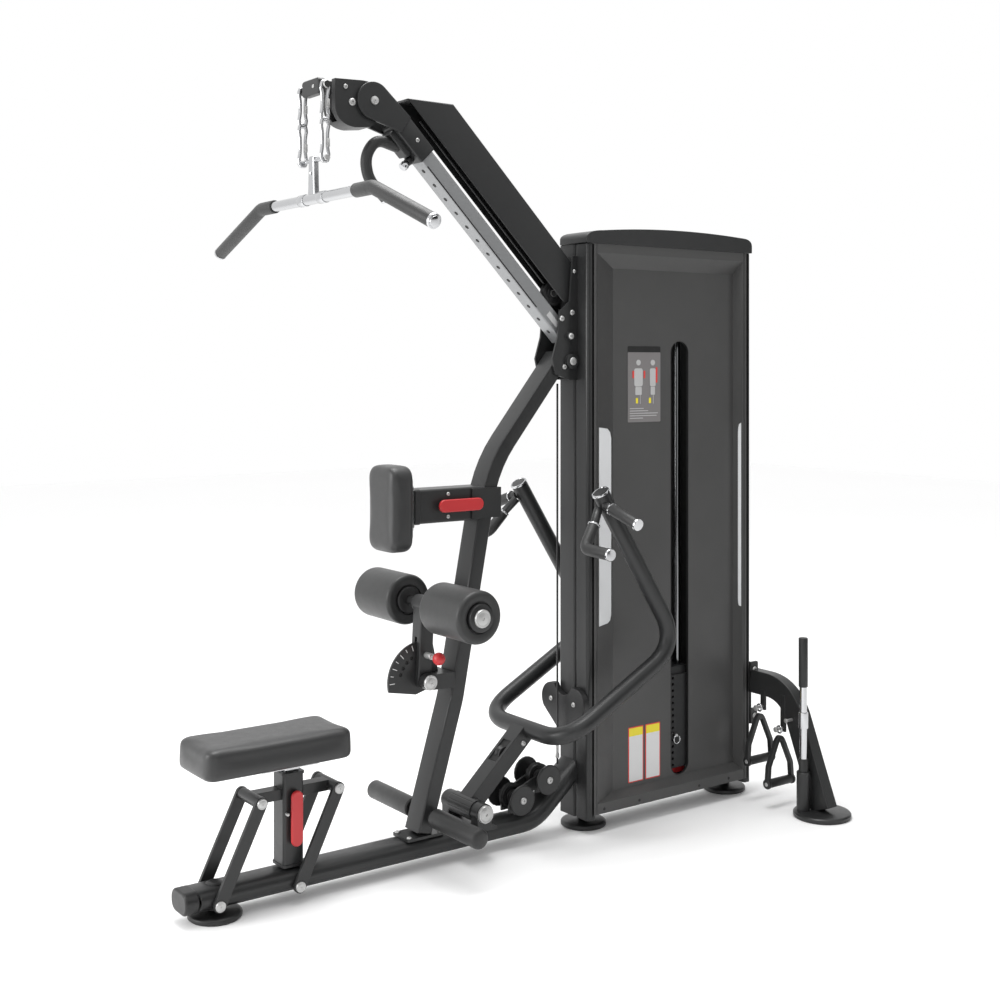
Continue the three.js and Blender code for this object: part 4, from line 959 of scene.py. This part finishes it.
# ---- weight stack ----
def stack():
    refined("resting_plates", 0.0008)
    refined("lifted_plates", 0.0008)
    refined("stack_bumper", 0.003)
    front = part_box("lifted_plates")[0].y
    x = centre("lifted_plates")[0]
    rest_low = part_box("resting_plates")[0].z
    pitch = 0.021
    for body, first, count in (("frame", 0, 5), ("stack", 5, 10)):
        marks = [tile("xz", x - 0.030, x - 0.018, rest_low + (i + 0.32) * pitch,
            rest_low + (i + 0.68) * pitch, 0.002, front - 0.0006, front + 0.0004, 3)
            for i in range(first, first + count)]
        piece(f"plate_marks_{body}", body, "ink", *marks, bevel=0)
        # dark discs set inside the plates' pin holes are painted shade
        dark = [across(x, rest_low + (i + 0.5) * pitch, front + 0.02, front + 0.0245, 0.0053)
            for i in range(first, first + count)]
        piece(f"plate_hole_painted_shade_{body}", body, "dark", *dark, bevel=0)
    z = rest_low + 5.5 * pitch
    piece("selector_shank", "selector", "steel", across(x, z, -0.074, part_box("selector_pin")[1].y, 0.0046,
        0.002), bevel=0, replaces=["selector_pin"])
    piece("selector_collar", "selector", "plastic", across(x, z, -0.068, -0.058, 0.0085, 0.002), bevel=0)
    piece("selector_ring", "selector", "chrome", ring((x, -0.072, z - 0.0135), (0, 1, 0), 0.0135, 0.0018),
        bevel=0)


stack()


# ---- upper bracket, adjustment tube and cable beam ----
TUBE_AT = Vector((1.1785, 0, 1.6125))
UP = Vector((-1, 0, 1)).normalized()
UNDER = Vector((-1, 0, -1)).normalized()


def on_tube(s, n, y=0.0):
    """A point s along the tube from its lower fixing, n below its axis."""
    return TUBE_AT + UP * s + UNDER * n + Vector((0, y, 0))


def tube_block(s0, s1, y0, y1, n0, n1):
    corners = [on_tube(s0, n0, y0), on_tube(s0, n0, y1), on_tube(s0, n1, y1), on_tube(s0, n1, y0)]
    return prism(corners, UP * (s1 - s0))


def tube_way(s0, s1):
    """The room that the adjustment tube needs, with a small clearance."""
    return tube_block(s0, s1, -0.0306, 0.0306, -0.0256, 0.0256)


def upper():
    refined("top_bracket", 0.0012)
    refined("adjust_tube", 0.0012)
    refined("cable_beam", 0.0014)
    # a dark strip along the tube's lower near corner is painted shade at that corner
    piece("tube_corner_painted_shade", "frame", "dark", tube_block(0.12, 0.70, -0.0304, -0.0298, 0.0188, 0.0232),
        bevel=0)
    piece("tube_scale_plate", "frame", "ink", tube_block(0.02, 0.075, -0.0306, -0.0299, -0.008, 0.010),
        bevel=0)
    # dark discs set inside the tube's pin holes are painted shade
    holes = []
    for i in range(14):
        at = on_tube(0.745 - i * 0.056, 0.0195)
        holes.append(rod(at, at + UNDER * 0.0059, 0.0072))
    piece("tube_hole_painted_shade", "frame", "dark", *holes, bevel=0)
    bolts = ((1.204, 1.512, 0.013, 0.0585), (1.196, 1.592, 0.010, 0.0585), (1.166, 1.648, 0.009, 0.0485),
        (1.208, 1.668, 0.009, 0.0485), (1.176, 1.494, 0.008, 0.0485), (1.216, 1.80, 0.006, 0.0485))
    for side, sign in SIDES:
        for i, (x, z, radius, y) in enumerate(bolts):
            reach = y if sign < 0 else 0.0485
            screw(f"top_bracket_screw_{side}_{i}", "frame", (x, sign * reach, z), (0, sign, 0), radius,
                0.005)
    wheel("beam_pulley", "upper_pulley")
    cable = [(1.162 - 0.030, 0, 1.73 + 0.030), (0.66, 0, 2.232)]
    piece("slope_cable", "frame", "cable", pipe(cable, 0.003, soft=0.001, sides=16), bevel=0)


def wheel(node, body):
    """Grooved pulley with a hub, a bearing and lightening dimples."""
    low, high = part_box(node)
    x, _, z = centre(node)
    radius = (high.x - low.x) / 2
    half = (high.y - low.y) / 2
    groove = [(radius - 0.007 + 0.0035 * (1 - math.cos(math.radians(a))),
        0.0055 * math.sin(math.radians(a))) for a in range(-80, 81, 16)]
    flank = [(0.012, -half), (0.02, -half), (0.022, -half + 0.003), (radius - 0.012, -half + 0.003),
        (radius - 0.009, -half), (radius - 0.001, -half), (radius, -half + 0.0015)]
    profile = flank + groove + [(r, -h) for r, h in flank[::-1]] + [(0.012, -half)]
    turned(node + "_wheel", body, "plastic", profile, (x, 0, z), (0, 1, 0), 64, replaces=[node])
    turned(node + "_bearing", body, "steel", [(0.0098, -half), (0.0118, -half), (0.0118, half),
        (0.0098, half), (0.0098, -half)], (x, 0, z), (0, 1, 0), 40)


upper()


# ---- pulldown head ----
def outline_around(points):
    """The smallest convex outline around flat points."""
    ordered = sorted(set(points))

    def side(sequence):
        kept = []
        for p in sequence:
            while len(kept) > 1 and turn(kept[-2], kept[-1], p) <= 0:
                kept.pop()
            kept.append(p)
        return kept[:-1]

    return side(ordered) + side(ordered[::-1])


def turn(a, b, c):
    return (b[0] - a[0]) * (c[1] - a[1]) - (b[1] - a[1]) * (c[0] - a[0])


HEAD_BOLT = (0.476, 2.266)
HANDLE_BEND = (0.482, 0, 2.044)
HANDLE_END = (0.540, 0, 1.992)


def carriage():
    """Sleeve round the tube, two cheeks, the pin's block and the bent handle."""
    low_s, high_s, out_y, out_n = 0.722, 0.862, 0.037, 0.032
    bore = tube_way(low_s - 0.01, high_s + 0.01)
    sleeve = piece("carriage_sleeve", "head", "coat",
        tube_block(low_s, high_s, -out_y, out_y, -out_n, out_n), bevel=0.0055, segments=4, angle=60,
        replaces=["head_carriage"])
    carve(bake(sleeve), bore)
    sleeve.data.set_sharp_from_angle(angle=math.radians(50))
    ends = [on_tube(high_s - 0.028, out_n - 0.004), on_tube(high_s - 0.018, 0.004 - out_n)]
    rim = outline_around(disc(*HEAD_BOLT, 0.055, 64) + [(p.x, p.z) for p in ends])
    cheeks = [slab("xz", rim, *on_side(s, 0.036, 0.046)) for _, s in SIDES]
    piece("carriage_cheeks", "head", "coat", *cheeks, bevel=0.002)
    piece("carriage_bolt", "head", "steel", across(*HEAD_BOLT, -0.0465, 0.0465, 0.009), bevel=0)
    piece("carriage_block", "head", "coat", tube_block(low_s + 0.04, high_s - 0.01, -0.024, 0.024,
        out_n - 0.003, out_n + 0.02), bevel=0.004, segments=3)
    handle = [on_tube(low_s + 0.075, out_n + 0.0115), (0.508, 0, 2.164), (0.470, 0, 2.108), HANDLE_BEND,
        HANDLE_END]
    piece("carriage_handle", "head", "rubber", pipe(handle, 0.017, 0.08, 32), bevel=0)


def head():
    carriage()
    low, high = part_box("pulley_housing")
    outline = [(0.352, 2.318), (0.352, 2.245)]
    outline += curve((0.352, 2.245), (0.3545, 2.186), (0.420, 2.184), 20)
    outline += [(0.470, 2.190), (0.520, 2.235), (0.520, 2.296)]
    outline += curve((0.520, 2.296), (0.490, 2.322), (0.440, 2.322), 14)
    room = slab("xz", [(0.300, 2.330), (0.300, 2.200), (0.480, 2.200), (0.600, 2.210), (0.600, 2.330)],
        -0.015, 0.015)
    axle = PIVOTS["head_wheel_spin"]
    piece("pulley_housing_shell", "head", "coat", slab("xz", outline, low.y, high.y),
        holes=[room, tube_way(0.802, 1.2)], bevel=0.004, segments=4, angle=30,
        replaces=["pulley_housing"])
    piece("pulley_housing_axle", "head", "steel", across(axle.x, axle.z, -0.034, 0.034, 0.007), bevel=0)
    bolt_x, bolt_z = HEAD_BOLT
    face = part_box("head_carriage")[1].y
    for side, sign in SIDES:
        cap(f"head_bolt_cap_{side}", "head", (bolt_x, sign * face, bolt_z), (0, sign, 0), 0.0125, 0.005)
        screw(f"housing_axle_screw_{side}", "head", (axle.x, sign * high.y, axle.z), (0, sign, 0), 0.011,
            0.005)
        screw(f"housing_front_screw_{side}", "head", (low.x + 0.034, sign * high.y, 2.298), (0, sign, 0),
            0.007, 0.004)
        screw(f"carriage_screw_{side}", "head", on_tube(0.78, -0.004, sign * 0.0345), (0, sign, 0), 0.007,
            0.004)
    wheel("head_pulley", "head_wheel")
    piece("carriage_index", "head", "white", tube_block(0.728, 0.731, -0.0348, -0.0342, -0.014, 0.010),
        bevel=0)
    piece("head_pin_shank", "head_pop_pin", "steel",
        rod(on_tube(0.745, 0.0262), on_tube(0.745, 0.066), 0.005), bevel=0, replaces=["head_pin"])
    piece("head_pin_barrel", "head", "plastic", rod(on_tube(0.745, 0.034), on_tube(0.745, 0.052), 0.0125),
        bevel=0)
    knob = [(0, 0), (0.009, 0), (0.0115, 0.002), (0.014, 0.008), (0.014, 0.019), (0.012, 0.022),
        (0, 0.0225)]
    turned("head_pin_knob", "head_pop_pin", "chrome", knob, on_tube(0.745, 0.0535), UNDER)
    # the C-shaped handle ends in a bright cap
    end, before = Vector(HANDLE_END), Vector(HANDLE_BEND)
    cap("head_handle_cap", "head", end - (end - before).normalized() * 0.001, end - before, 0.0178, 0.009,
        "chrome")


head()


# ---- lat bar, its links and grips ----
def lat_bar():
    x = centre("lat_bar")[0]
    z, end_z, straight, end = 1.973, 1.855, 0.330, 0.632
    radius = 0.0155
    yoke_z = 2.082
    route = [(x, -end, end_z), (x, -straight, z), (x, straight, z), (x, end, end_z)]
    stem = [(-0.0205, z), (0.0205, z), (0.0185, z + 0.03), (0.0145, yoke_z + 0.012),
        (-0.0145, yoke_z + 0.012), (-0.0185, z + 0.03)]
    piece("lat_bar_tube", "pulldown_bar", "chrome", pipe(route, radius, 0.06, 40),
        across(x, yoke_z, -0.079, 0.079, 0.0062), replaces=["lat_bar"], bevel=0)
    piece("lat_bar_stem", "pulldown_bar", "chrome", slab("yz", stem, x - 0.009, x + 0.009), bevel=0.004,
        segments=4, holes=[rod((x - 1, 0, 2.045), (x + 1, 0, 2.045), 0.004)])
    piece("lat_bar_sockets", "pulldown_bar", "chrome",
        *[rod((x, s * 0.04, z), (x, s * 0.075, z), 0.0175, 0.001) for _, s in SIDES], bevel=0)
    for side, sign in SIDES:
        piece(f"lat_stem_nut_{side}", "pulldown_bar", "steel",
            lathe([(0, 0), (0.0095, 0), (0.0095, 0.006), (0, 0.006)], (x, sign * 0.076, yoke_z),
            (0, sign, 0), 6), bevel=0.0008)
        node = "lat_grip_" + side
        fall = (end_z - z) / (end - straight)
        stop = end - 0.012
        grip = [(x, sign * 0.24, z), (x, sign * straight, z),
            (x, sign * stop, z + (stop - straight) * fall)]
        piece(node + "_sleeve", "pulldown_bar", "rubber", pipe(grip, 0.02, 0.06, 36, soft=0.003), bevel=0,
            replaces=[node])
        tip = Vector((x, sign * end, end_z))
        way = Vector((0, sign, fall)).normalized()
        turned(f"lat_end_cap_{side}", "pulldown_bar", "chrome",
            [(0, 0), (0.0195, 0), (0.0205, 0.001), (0.0205, 0.006), (0.019, 0.0085), (0.012, 0.0095),
            (0, 0.0098)], tip - way * 0.0118, way)
    link_parts()


def link_parts():
    """Two snap links a side, each a closed loop of wire with a gate sleeve, and the yoke above them."""
    x = centre("snap_link_near")[0]
    middle = 2.19
    for side, sign in SIDES:
        node = "snap_link_" + side
        near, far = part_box(node)
        y = centre(node)[1]
        loops = []
        for z0, z1 in ((near.z + 0.004, middle + 0.003), (middle - 0.003, far.z - 0.004)):
            outline = link_line(x, y, z0, z1)
            loops.append(closed_wire(outline, 0.0052))
        piece(node + "_wire", "pulldown_bar", "chrome", *loops, bevel=0, replaces=[node])
        gates = [rod((x + 0.0092, y, z), (x + 0.0092, y, z + 0.024), 0.0062, 0.001)
            for z in (near.z + 0.045, middle + 0.035)]
        piece(node + "_gates", "pulldown_bar", "steel", *gates, bevel=0)
    refined("cable_yoke", 0.0012)
    hanger = 2.288
    for side, sign in SIDES:
        cap(f"yoke_end_{side}", "pulldown_bar", (0.302, sign * 0.0755, hanger), (0, sign, 0), 0.0105,
            0.006)
    screw("yoke_screw", "pulldown_bar", (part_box("cable_yoke")[0].x, -0.02, centre("cable_yoke")[2]),
        (-1, 0, 0), 0.005, 0.003)


def link_line(x, y, z0, z1):
    """Outline of a snap link: a long loop, narrower at its middle."""
    points = []
    for i in range(48):
        a = 2 * math.pi * i / 48
        t = math.sin(a)
        half = 0.0125 - 0.0045 * math.cos(math.pi * t) * (1 if abs(t) < 0.5 else 0)
        lift = (abs(t) ** 0.62) * math.copysign(1, t)
        points.append(Vector((x + half * math.copysign(abs(math.cos(a)) ** 0.45, math.cos(a)), y,
            (z0 + z1) / 2 + (z1 - z0) / 2 * lift)))
    return points


def closed_wire(points, radius, around=14):
    """A closed loop of round wire along upright points."""
    verts = []
    count = len(points)
    for i, point in enumerate(points):
        along = (points[(i + 1) % count] - points[i - 1]).normalized()
        side = Vector((0, 1, 0))
        up = along.cross(side)
        for k in range(around):
            b = 2 * math.pi * k / around
            verts.append(tuple(point + (side * math.cos(b) + up * math.sin(b)) * radius))
    return verts, hoop_faces(count, around)


lat_bar()


# ---- row arm ----
def row_arm():
    x, z = PIVOTS["row_swing"].x, PIVOTS["row_swing"].z
    half_y, radius = 0.212, 0.027
    top = (1.190, 1.102)
    line = [top, (1.514, 0.598), (1.052, 0.352)]
    route = [(a, -half_y, b) for a, b in line] + [(a, half_y, b) for a, b in line[::-1]]
    beam_end = Vector((1.058, 0, 0.356))
    start = Vector((x, 0, z))
    way = (beam_end - start).normalized()
    lift = Vector((-way.z, 0, way.x))

    def trench(s0, s1, n0, n1, half):
        """A block along the beam, from s0 to s1 and from n0 to n1 above its line."""
        corners = [start + way * s + lift * n for s, n in ((s0, n0), (s1, n0), (s1, n1), (s0, n1))]
        return prism([p + Vector((0, -half, 0)) for p in corners], (0, 2 * half, 0))

    piece("row_arm_tube", "rowing_arm", "coat", pipe(route, radius, 0.115, 40, 14), bevel=0,
        replaces=["row_arm"])
    piece("row_arm_beam", "rowing_arm", "coat", slab("xz", ribbon([(x, z), (1.05, 0.348)], 0.027, 0),
        -0.031, 0.031), bevel=0.006, segments=4, holes=[trench(0.155, 0.235, 0.02, 0.04, 0.019)])
    # a dark block at the bottom of the beam's trench is painted shade
    piece("row_arm_pocket_painted_shade", "rowing_arm", "dark", trench(0.154, 0.236, 0.018, 0.0205, 0.0192), bevel=0)
    sheave_at = start + way * 0.195 + lift * 0.005
    turned("row_arm_sheave", "rowing_arm", "plastic",
        [(0, -0.012), (0.026, -0.012), (0.026, -0.008), (0.021, 0), (0.026, 0.008), (0.026, 0.012),
        (0, 0.012)], sheave_at, (0, 1, 0), 48)
    fluted = []
    for k in range(120):
        radius_here = 0.0316 if k % 10 == 0 else 0.033
        fluted += arc(x, z, radius_here, k * 3, k * 3, 1)[:1]
    piece("row_arm_hub", "rowing_arm", "coat", slab("xz", fluted, -0.06, 0.06), bevel=0.0008, segments=2,
        holes=[across(x, z, -0.1, 0.1, 0.0145, 0.0001)])
    refined("row_bracket", 0.0015)
    piece("row_axle_bar", "frame", "steel", across(x, z, -0.1, 0.1, 0.0142), bevel=0,
        replaces=["row_axle"])
    for side, sign in SIDES:
        cap(f"row_axle_cap_{side}", "frame", (x, sign * 0.0972, z), (0, sign, 0), 0.027, 0.0105)
        row_handle(side, sign, top, line)
    for side, sign in SIDES:
        screw(f"row_beam_screw_{side}_0", "rowing_arm",
            start + way * 0.265 + Vector((0, sign * 0.031, -0.012)), (0, sign, 0), 0.0085, 0.005)


def row_handle(side, sign, top, line):
    x, z = top
    y = sign * 0.212
    out = sign * 0.0273
    body = "rowing_arm"
    node = "row_handle_" + side
    way = Vector((top[0] - line[1][0], 0, top[1] - line[1][1])).normalized()
    tip = Vector((x, y, z))
    profile = [(0, 0), (0.0275, 0), (0.029, 0.0015), (0.029, 0.005), (0.0275, 0.0075), (0.024, 0.0082),
        (0.0225, 0.0062), (0, 0.0058)]
    turned(f"row_arm_end_{side}", body, "chrome", profile, tip - way * 0.001, way, 56)
    turned(f"row_arm_end_disc_{side}", body, "coat", [(0, 0), (0.0222, 0), (0.0215, 0.0012), (0, 0.0016)],
        tip + way * 0.0056, way, 48)
    straight0 = Vector((x + 0.004, y + out * 0.6, z - 0.036))
    straight1 = Vector((x + 0.004, y + sign * 0.172, z - 0.084))
    run = (straight1 - straight0).normalized()
    ring_at = straight0 + run * 0.03
    piece(f"row_stub_{side}", body, "coat", rod(straight0, ring_at + run * 0.002, 0.0135),
        pipe([(x - 0.010, y, z - 0.048), (x - 0.045, y + sign * 0.022, z - 0.092)], 0.0135), bevel=0)
    collar = [(0.0135, 0), (0.0185, 0), (0.0195, 0.001), (0.0195, 0.005), (0.0185, 0.006),
        (0.0135, 0.006), (0.0135, 0)]
    turned(f"row_straight_ring_{side}", body, "chrome", collar, ring_at, run, 48)
    piece(node + "_straight", body, "rubber", pipe([ring_at + run * 0.006, straight1 - run * 0.009],
        0.018, soft=0.002, sides=40), bevel=0, replaces=[node])
    end = [(0, 0), (0.0178, 0), (0.019, 0.0012), (0.019, 0.007), (0.0172, 0.0092), (0.01, 0.01),
        (0, 0.0102)]
    turned(f"row_straight_cap_{side}", body, "chrome", end, straight1 - run * 0.009, run, 48)
    angled = [Vector((x - 0.045, y + sign * 0.022, z - 0.092)),
        Vector((x - 0.098, y + sign * 0.040, z - 0.160)),
        Vector((x - 0.098, y + sign * 0.165, z - 0.166))]
    first = (angled[1] - angled[0]).normalized()
    last = (angled[2] - angled[1]).normalized()
    turned(f"row_angled_ring_{side}", body, "chrome", collar, angled[0] - first * 0.001, first, 48)
    grip = [angled[0] + first * 0.005, angled[1], angled[2] - last * 0.009]
    piece(node + "_angled", body, "rubber", pipe(grip, 0.018, 0.03, 40, soft=0.002), bevel=0)
    turned(f"row_angled_cap_{side}", body, "chrome", end, angled[2] - last * 0.009, last, 48)


row_arm()


# ---- base pulleys and column cover ----
def pulleys():
    refined("pulley_bracket", 0.001)
    for node, body in (("base_pulley_front", "front_wheel"), ("base_pulley_rear", "rear_wheel")):
        wheel(node, body)
        x, _, z = centre(node)
        for side, sign in SIDES:
            screw(f"{node}_screw_{side}", "frame", (x, sign * 0.066, z), (0, sign, 0), 0.011, 0.005)
    low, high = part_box("column_pulley_cover")
    z = 0.413
    lobes = stadium_pair(-0.058, 0.058, z, 0.052, low.z)
    piece("column_cover_shell", "frame", "plastic", slab("yz", lobes, low.x, high.x),
        holes=[slab("yz", disc(0, 0.480, 0.046, 48), low.x - 1, high.x + 1)], bevel=0.003, segments=3,
        angle=50, replaces=["column_pulley_cover"])
    for i, y in enumerate((-0.058, 0.058)):
        screw(f"column_cover_screw_{i}", "frame", (low.x, y, z), (-1, 0, 0), 0.008, 0.004)
    low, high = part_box("column_cable")
    x, y, _ = centre("column_cable")
    piece("column_cable_coat", "frame", "cable", rod((x, y, low.z), (x, y, high.z), 0.0033, 0.001, 24),
        bevel=0, replaces=["column_cable"])
    turnbuckle = [(0, 0), (0.0065, 0), (0.0065, 0.012), (0.0045, 0.016), (0.0045, 0.05), (0.0065, 0.054),
        (0.0065, 0.068), (0, 0.068)]
    turned("cable_turnbuckle", "frame", "steel", turnbuckle, (x, y, 0.235), sides=24)


def stadium_pair(y0, y1, z, radius, bottom):
    """Outline of two round lobes that taper to one point below."""
    points = arc(y1, z, radius, -38, 90, 24) + arc(y0, z, radius, 90, 218, 24)
    return points + [(-0.012, bottom + 0.001), (0.012, bottom + 0.001)]


pulleys()


# ---- storage rack ----
HOOK_TIP = 1.936
HOOKS = {"pull_handle_rear": (-0.156, 0.318), "pull_handle_front": (-0.248, 0.262)}


def rack():
    x0, x1 = 1.968, 2.012
    line = [(-0.022, 0.395), (-0.262, 0.395), (-0.412, 0.024)]
    arch = slab("yz", ribbon(line, 0.040, 0.150, 20), x0, x1)
    bar_x, bar_y, _ = centre("storage_bar")
    foot_x, foot_y = 1.987, -0.405
    disc_profile = [(0, 0), (0.091, 0), (0.095, 0.004), (0.095, 0.013), (0.092, 0.0165), (0.088, 0.018),
        (0, 0.018)]
    plate = box(x0 - 0.0007, x0 + 0.007, -0.098, -0.008, 0.245, 0.462)
    holder = lathe([(0.0165, 0.024), (0.021, 0.024), (0.022, 0.022), (0.022, 0.146), (0.021, 0.147),
        (0.0168, 0.147), (0.0165, 0.145), (0.0165, 0.024)], (bar_x, bar_y, 0), sides=56)
    base_cup = lathe([(0, 0.015), (0.022, 0.015), (0.022, 0.024), (0, 0.024)], (bar_x, bar_y, 0),
        sides=56)
    piece("rack_arch", "frame", "coat", arch, plate,
        box(bar_x, x0 + 0.005, bar_y - 0.012, bar_y + 0.004, 0.02, 0.13), bevel=0.003, segments=3,
        replaces=["rack_arm"])
    turned("rack_foot_disc", "frame", "coat", disc_profile, (foot_x, foot_y, 0), sides=80)
    piece("rack_bar_holder", "frame", "coat", holder, base_cup, bevel=0)
    hooks, drops = [], []
    for y, z in HOOKS.values():
        drops.append(box(x0 - 0.0006, x0 + 0.008, y - 0.011, y + 0.011, z - 0.012, 0.375))
        hooks += [rod((x0 - 0.001, y, z), (HOOK_TIP, y, z), 0.005),
            rod((HOOK_TIP + 0.0005, y, z), (HOOK_TIP - 0.005, y, z), 0.009)]
    piece("rack_drops", "frame", "coat", *drops, bevel=0.0015)
    piece("rack_hooks", "frame", "steel", *hooks, bevel=0)
    lug_y = -0.101
    lugs = [tile("xz", x0, x1, z0, z1, 0.007, lug_y, lug_y + 0.008) for x1, z0,
        z1 in ((x0 + 0.036, 0.400, 0.462), (x0 + 0.032, 0.245, 0.300))]
    piece("rack_lugs", "frame", "coat", *lugs, bevel=0.0015)
    for i, z in enumerate((0.434, 0.272)):
        screw(f"rack_lug_bolt_{i}", "frame", (x0 + 0.018, lug_y, z), (0, -1, 0), 0.0105, 0.005)
    root, neck, end = [(x0 - out, -0.29, 0.30) for out in (0, 0.028, 0.032)]
    piece("rack_spare_hook", "frame", "steel", rod(root, neck, 0.005), rod(neck, end, 0.0075), bevel=0)
    for i, z in enumerate((0.44, 0.262)):
        screw(f"rack_plate_bolt_{i}", "frame", (x0 + 0.007, -0.053, z), (1, 0, 0), 0.009, 0.005)
    turned("storage_bar_chrome", "stored_bar", "chrome",
        [(0, 0.188), (0.0122, 0.188), (0.0122, 0.290), (0.0158, 0.291), (0.0162, 0.294), (0.0162, 0.34),
        (0.0158, 0.344), (0.0122, 0.345), (0.0122, 0.43), (0, 0.43)], (bar_x, bar_y, 0),
        replaces=["storage_bar"])
    for tag, z0, z1 in (("low", 0.0255, 0.19), ("high", 0.428, 0.592)):
        piece(f"storage_bar_grip_{tag}", "stored_bar", "rubber",
            rod((bar_x, bar_y, z0), (bar_x, bar_y, z1), 0.0152, 0.003), bevel=0)
    for node in ("pull_handle_front", "pull_handle_rear"):
        pull_handle(node, (x0 + HOOK_TIP) / 2, *HOOKS[node])


def pull_handle(node, x, y, z):
    body = NODE_BODY[node]
    eye_z = z - 0.011 + 0.0093
    grip_z = z - 0.178
    piece(node + "_eye", body, "chrome", ring((x, y, eye_z), (1, 0, 0), 0.0112, 0.0034), bevel=0,
        replaces=[node])
    legs = [(x - 0.058, grip_z), (x - 0.053, grip_z + 0.058), (x, eye_z - 0.008),
        (x + 0.053, grip_z + 0.058), (x + 0.058, grip_z)]
    strap = ribbon(legs, 0.0075, 0.02, 8)
    piece(node + "_yoke", body, "coat", slab("xz", strap, y - 0.0085, y + 0.0085), bevel=0.002)
    piece(node + "_grip", body, "rubber", rod((x - 0.054, y, grip_z), (x + 0.054, y, grip_z), 0.0145,
        0.002), bevel=0)
    for i, s in enumerate((-1, 1)):
        piece(f"{node}_end_{i}", body, "plastic", rod((x + s * 0.053, y, grip_z),
            (x + s * 0.064, y, grip_z), 0.017, 0.003), bevel=0)
        screw(f"{node}_screw_{i}", body, (x + s * 0.0638, y, grip_z), (s, 0, 0), 0.007, 0.002)


rack()


# ---- floor and light ----
def studio():
    size = 14
    data = to_mesh("floor", [([(-size, -size, 0), (size, -size, 0), (size, size, 0), (-size, size, 0)],
        [[0, 1, 2, 3]])])
    floor = bpy.data.objects.new("floor", data)
    bpy.context.scene.collection.objects.link(floor)
    pale = material("floor_pale", (0.985, 0.985, 0.985), 0.7, vary=0.004, blotch=0.4, bump=0.01, grain=40,
        Specular_IOR_Level=0.1)
    data.materials.append(pale)
    world = bpy.data.worlds.new("studio")
    world.use_nodes = True
    sky = world.node_tree.nodes["Background"]
    sky.inputs["Color"].default_value = (1, 1, 1, 1)
    sky.inputs["Strength"].default_value = 1.0
    bpy.context.scene.world = world
    bpy.context.scene.view_settings.view_transform = "Standard"
    for name, at, aim, size, power in (("side", (-3.8, 0.8, 1.9), (0.6, 0, 1.0), 2.2, 110),
            ("top", (0.8, 0.2, 4.6), (0.8, 0, 0.8), 2.4, 150)):
        lamp = bpy.data.lights.new(name, "AREA")
        lamp.size = size
        lamp.energy = power
        obj = bpy.data.objects.new(name, lamp)
        obj.location = at
        obj.rotation_euler = (Vector(aim) - Vector(at)).to_track_quat("-Z", "Y").to_euler()
        bpy.context.scene.collection.objects.link(obj)


studio()


def dark_cards():
    """Matt black cards beyond the picture, which bright metal mirrors and which dim the front light."""
    black = material("card_black", (0.02, 0.02, 0.02), 0.8, vary=0.02, blotch=1, bump=0.01, grain=20)
    for name, corner, along in (("card_front", (0.2, -4.6, 0.0), (4.4, -0.6, 0)),
            ("card_left", (-4.6, -3.9, 0.0), (1.6, -1.6, 0)),
            ("card_right", (4.6, -2.6, 0.0), (0.5, 2.6, 0))):
        a, b = Vector(corner), Vector(corner) + Vector(along)
        rise = Vector((0, 0, 3.4))
        data = to_mesh(name, [([a, b, b + rise, a + rise], [[0, 1, 2, 3]])])
        card = bpy.data.objects.new(name, data)
        bpy.context.scene.collection.objects.link(card)
        data.materials.append(black)


dark_cards()
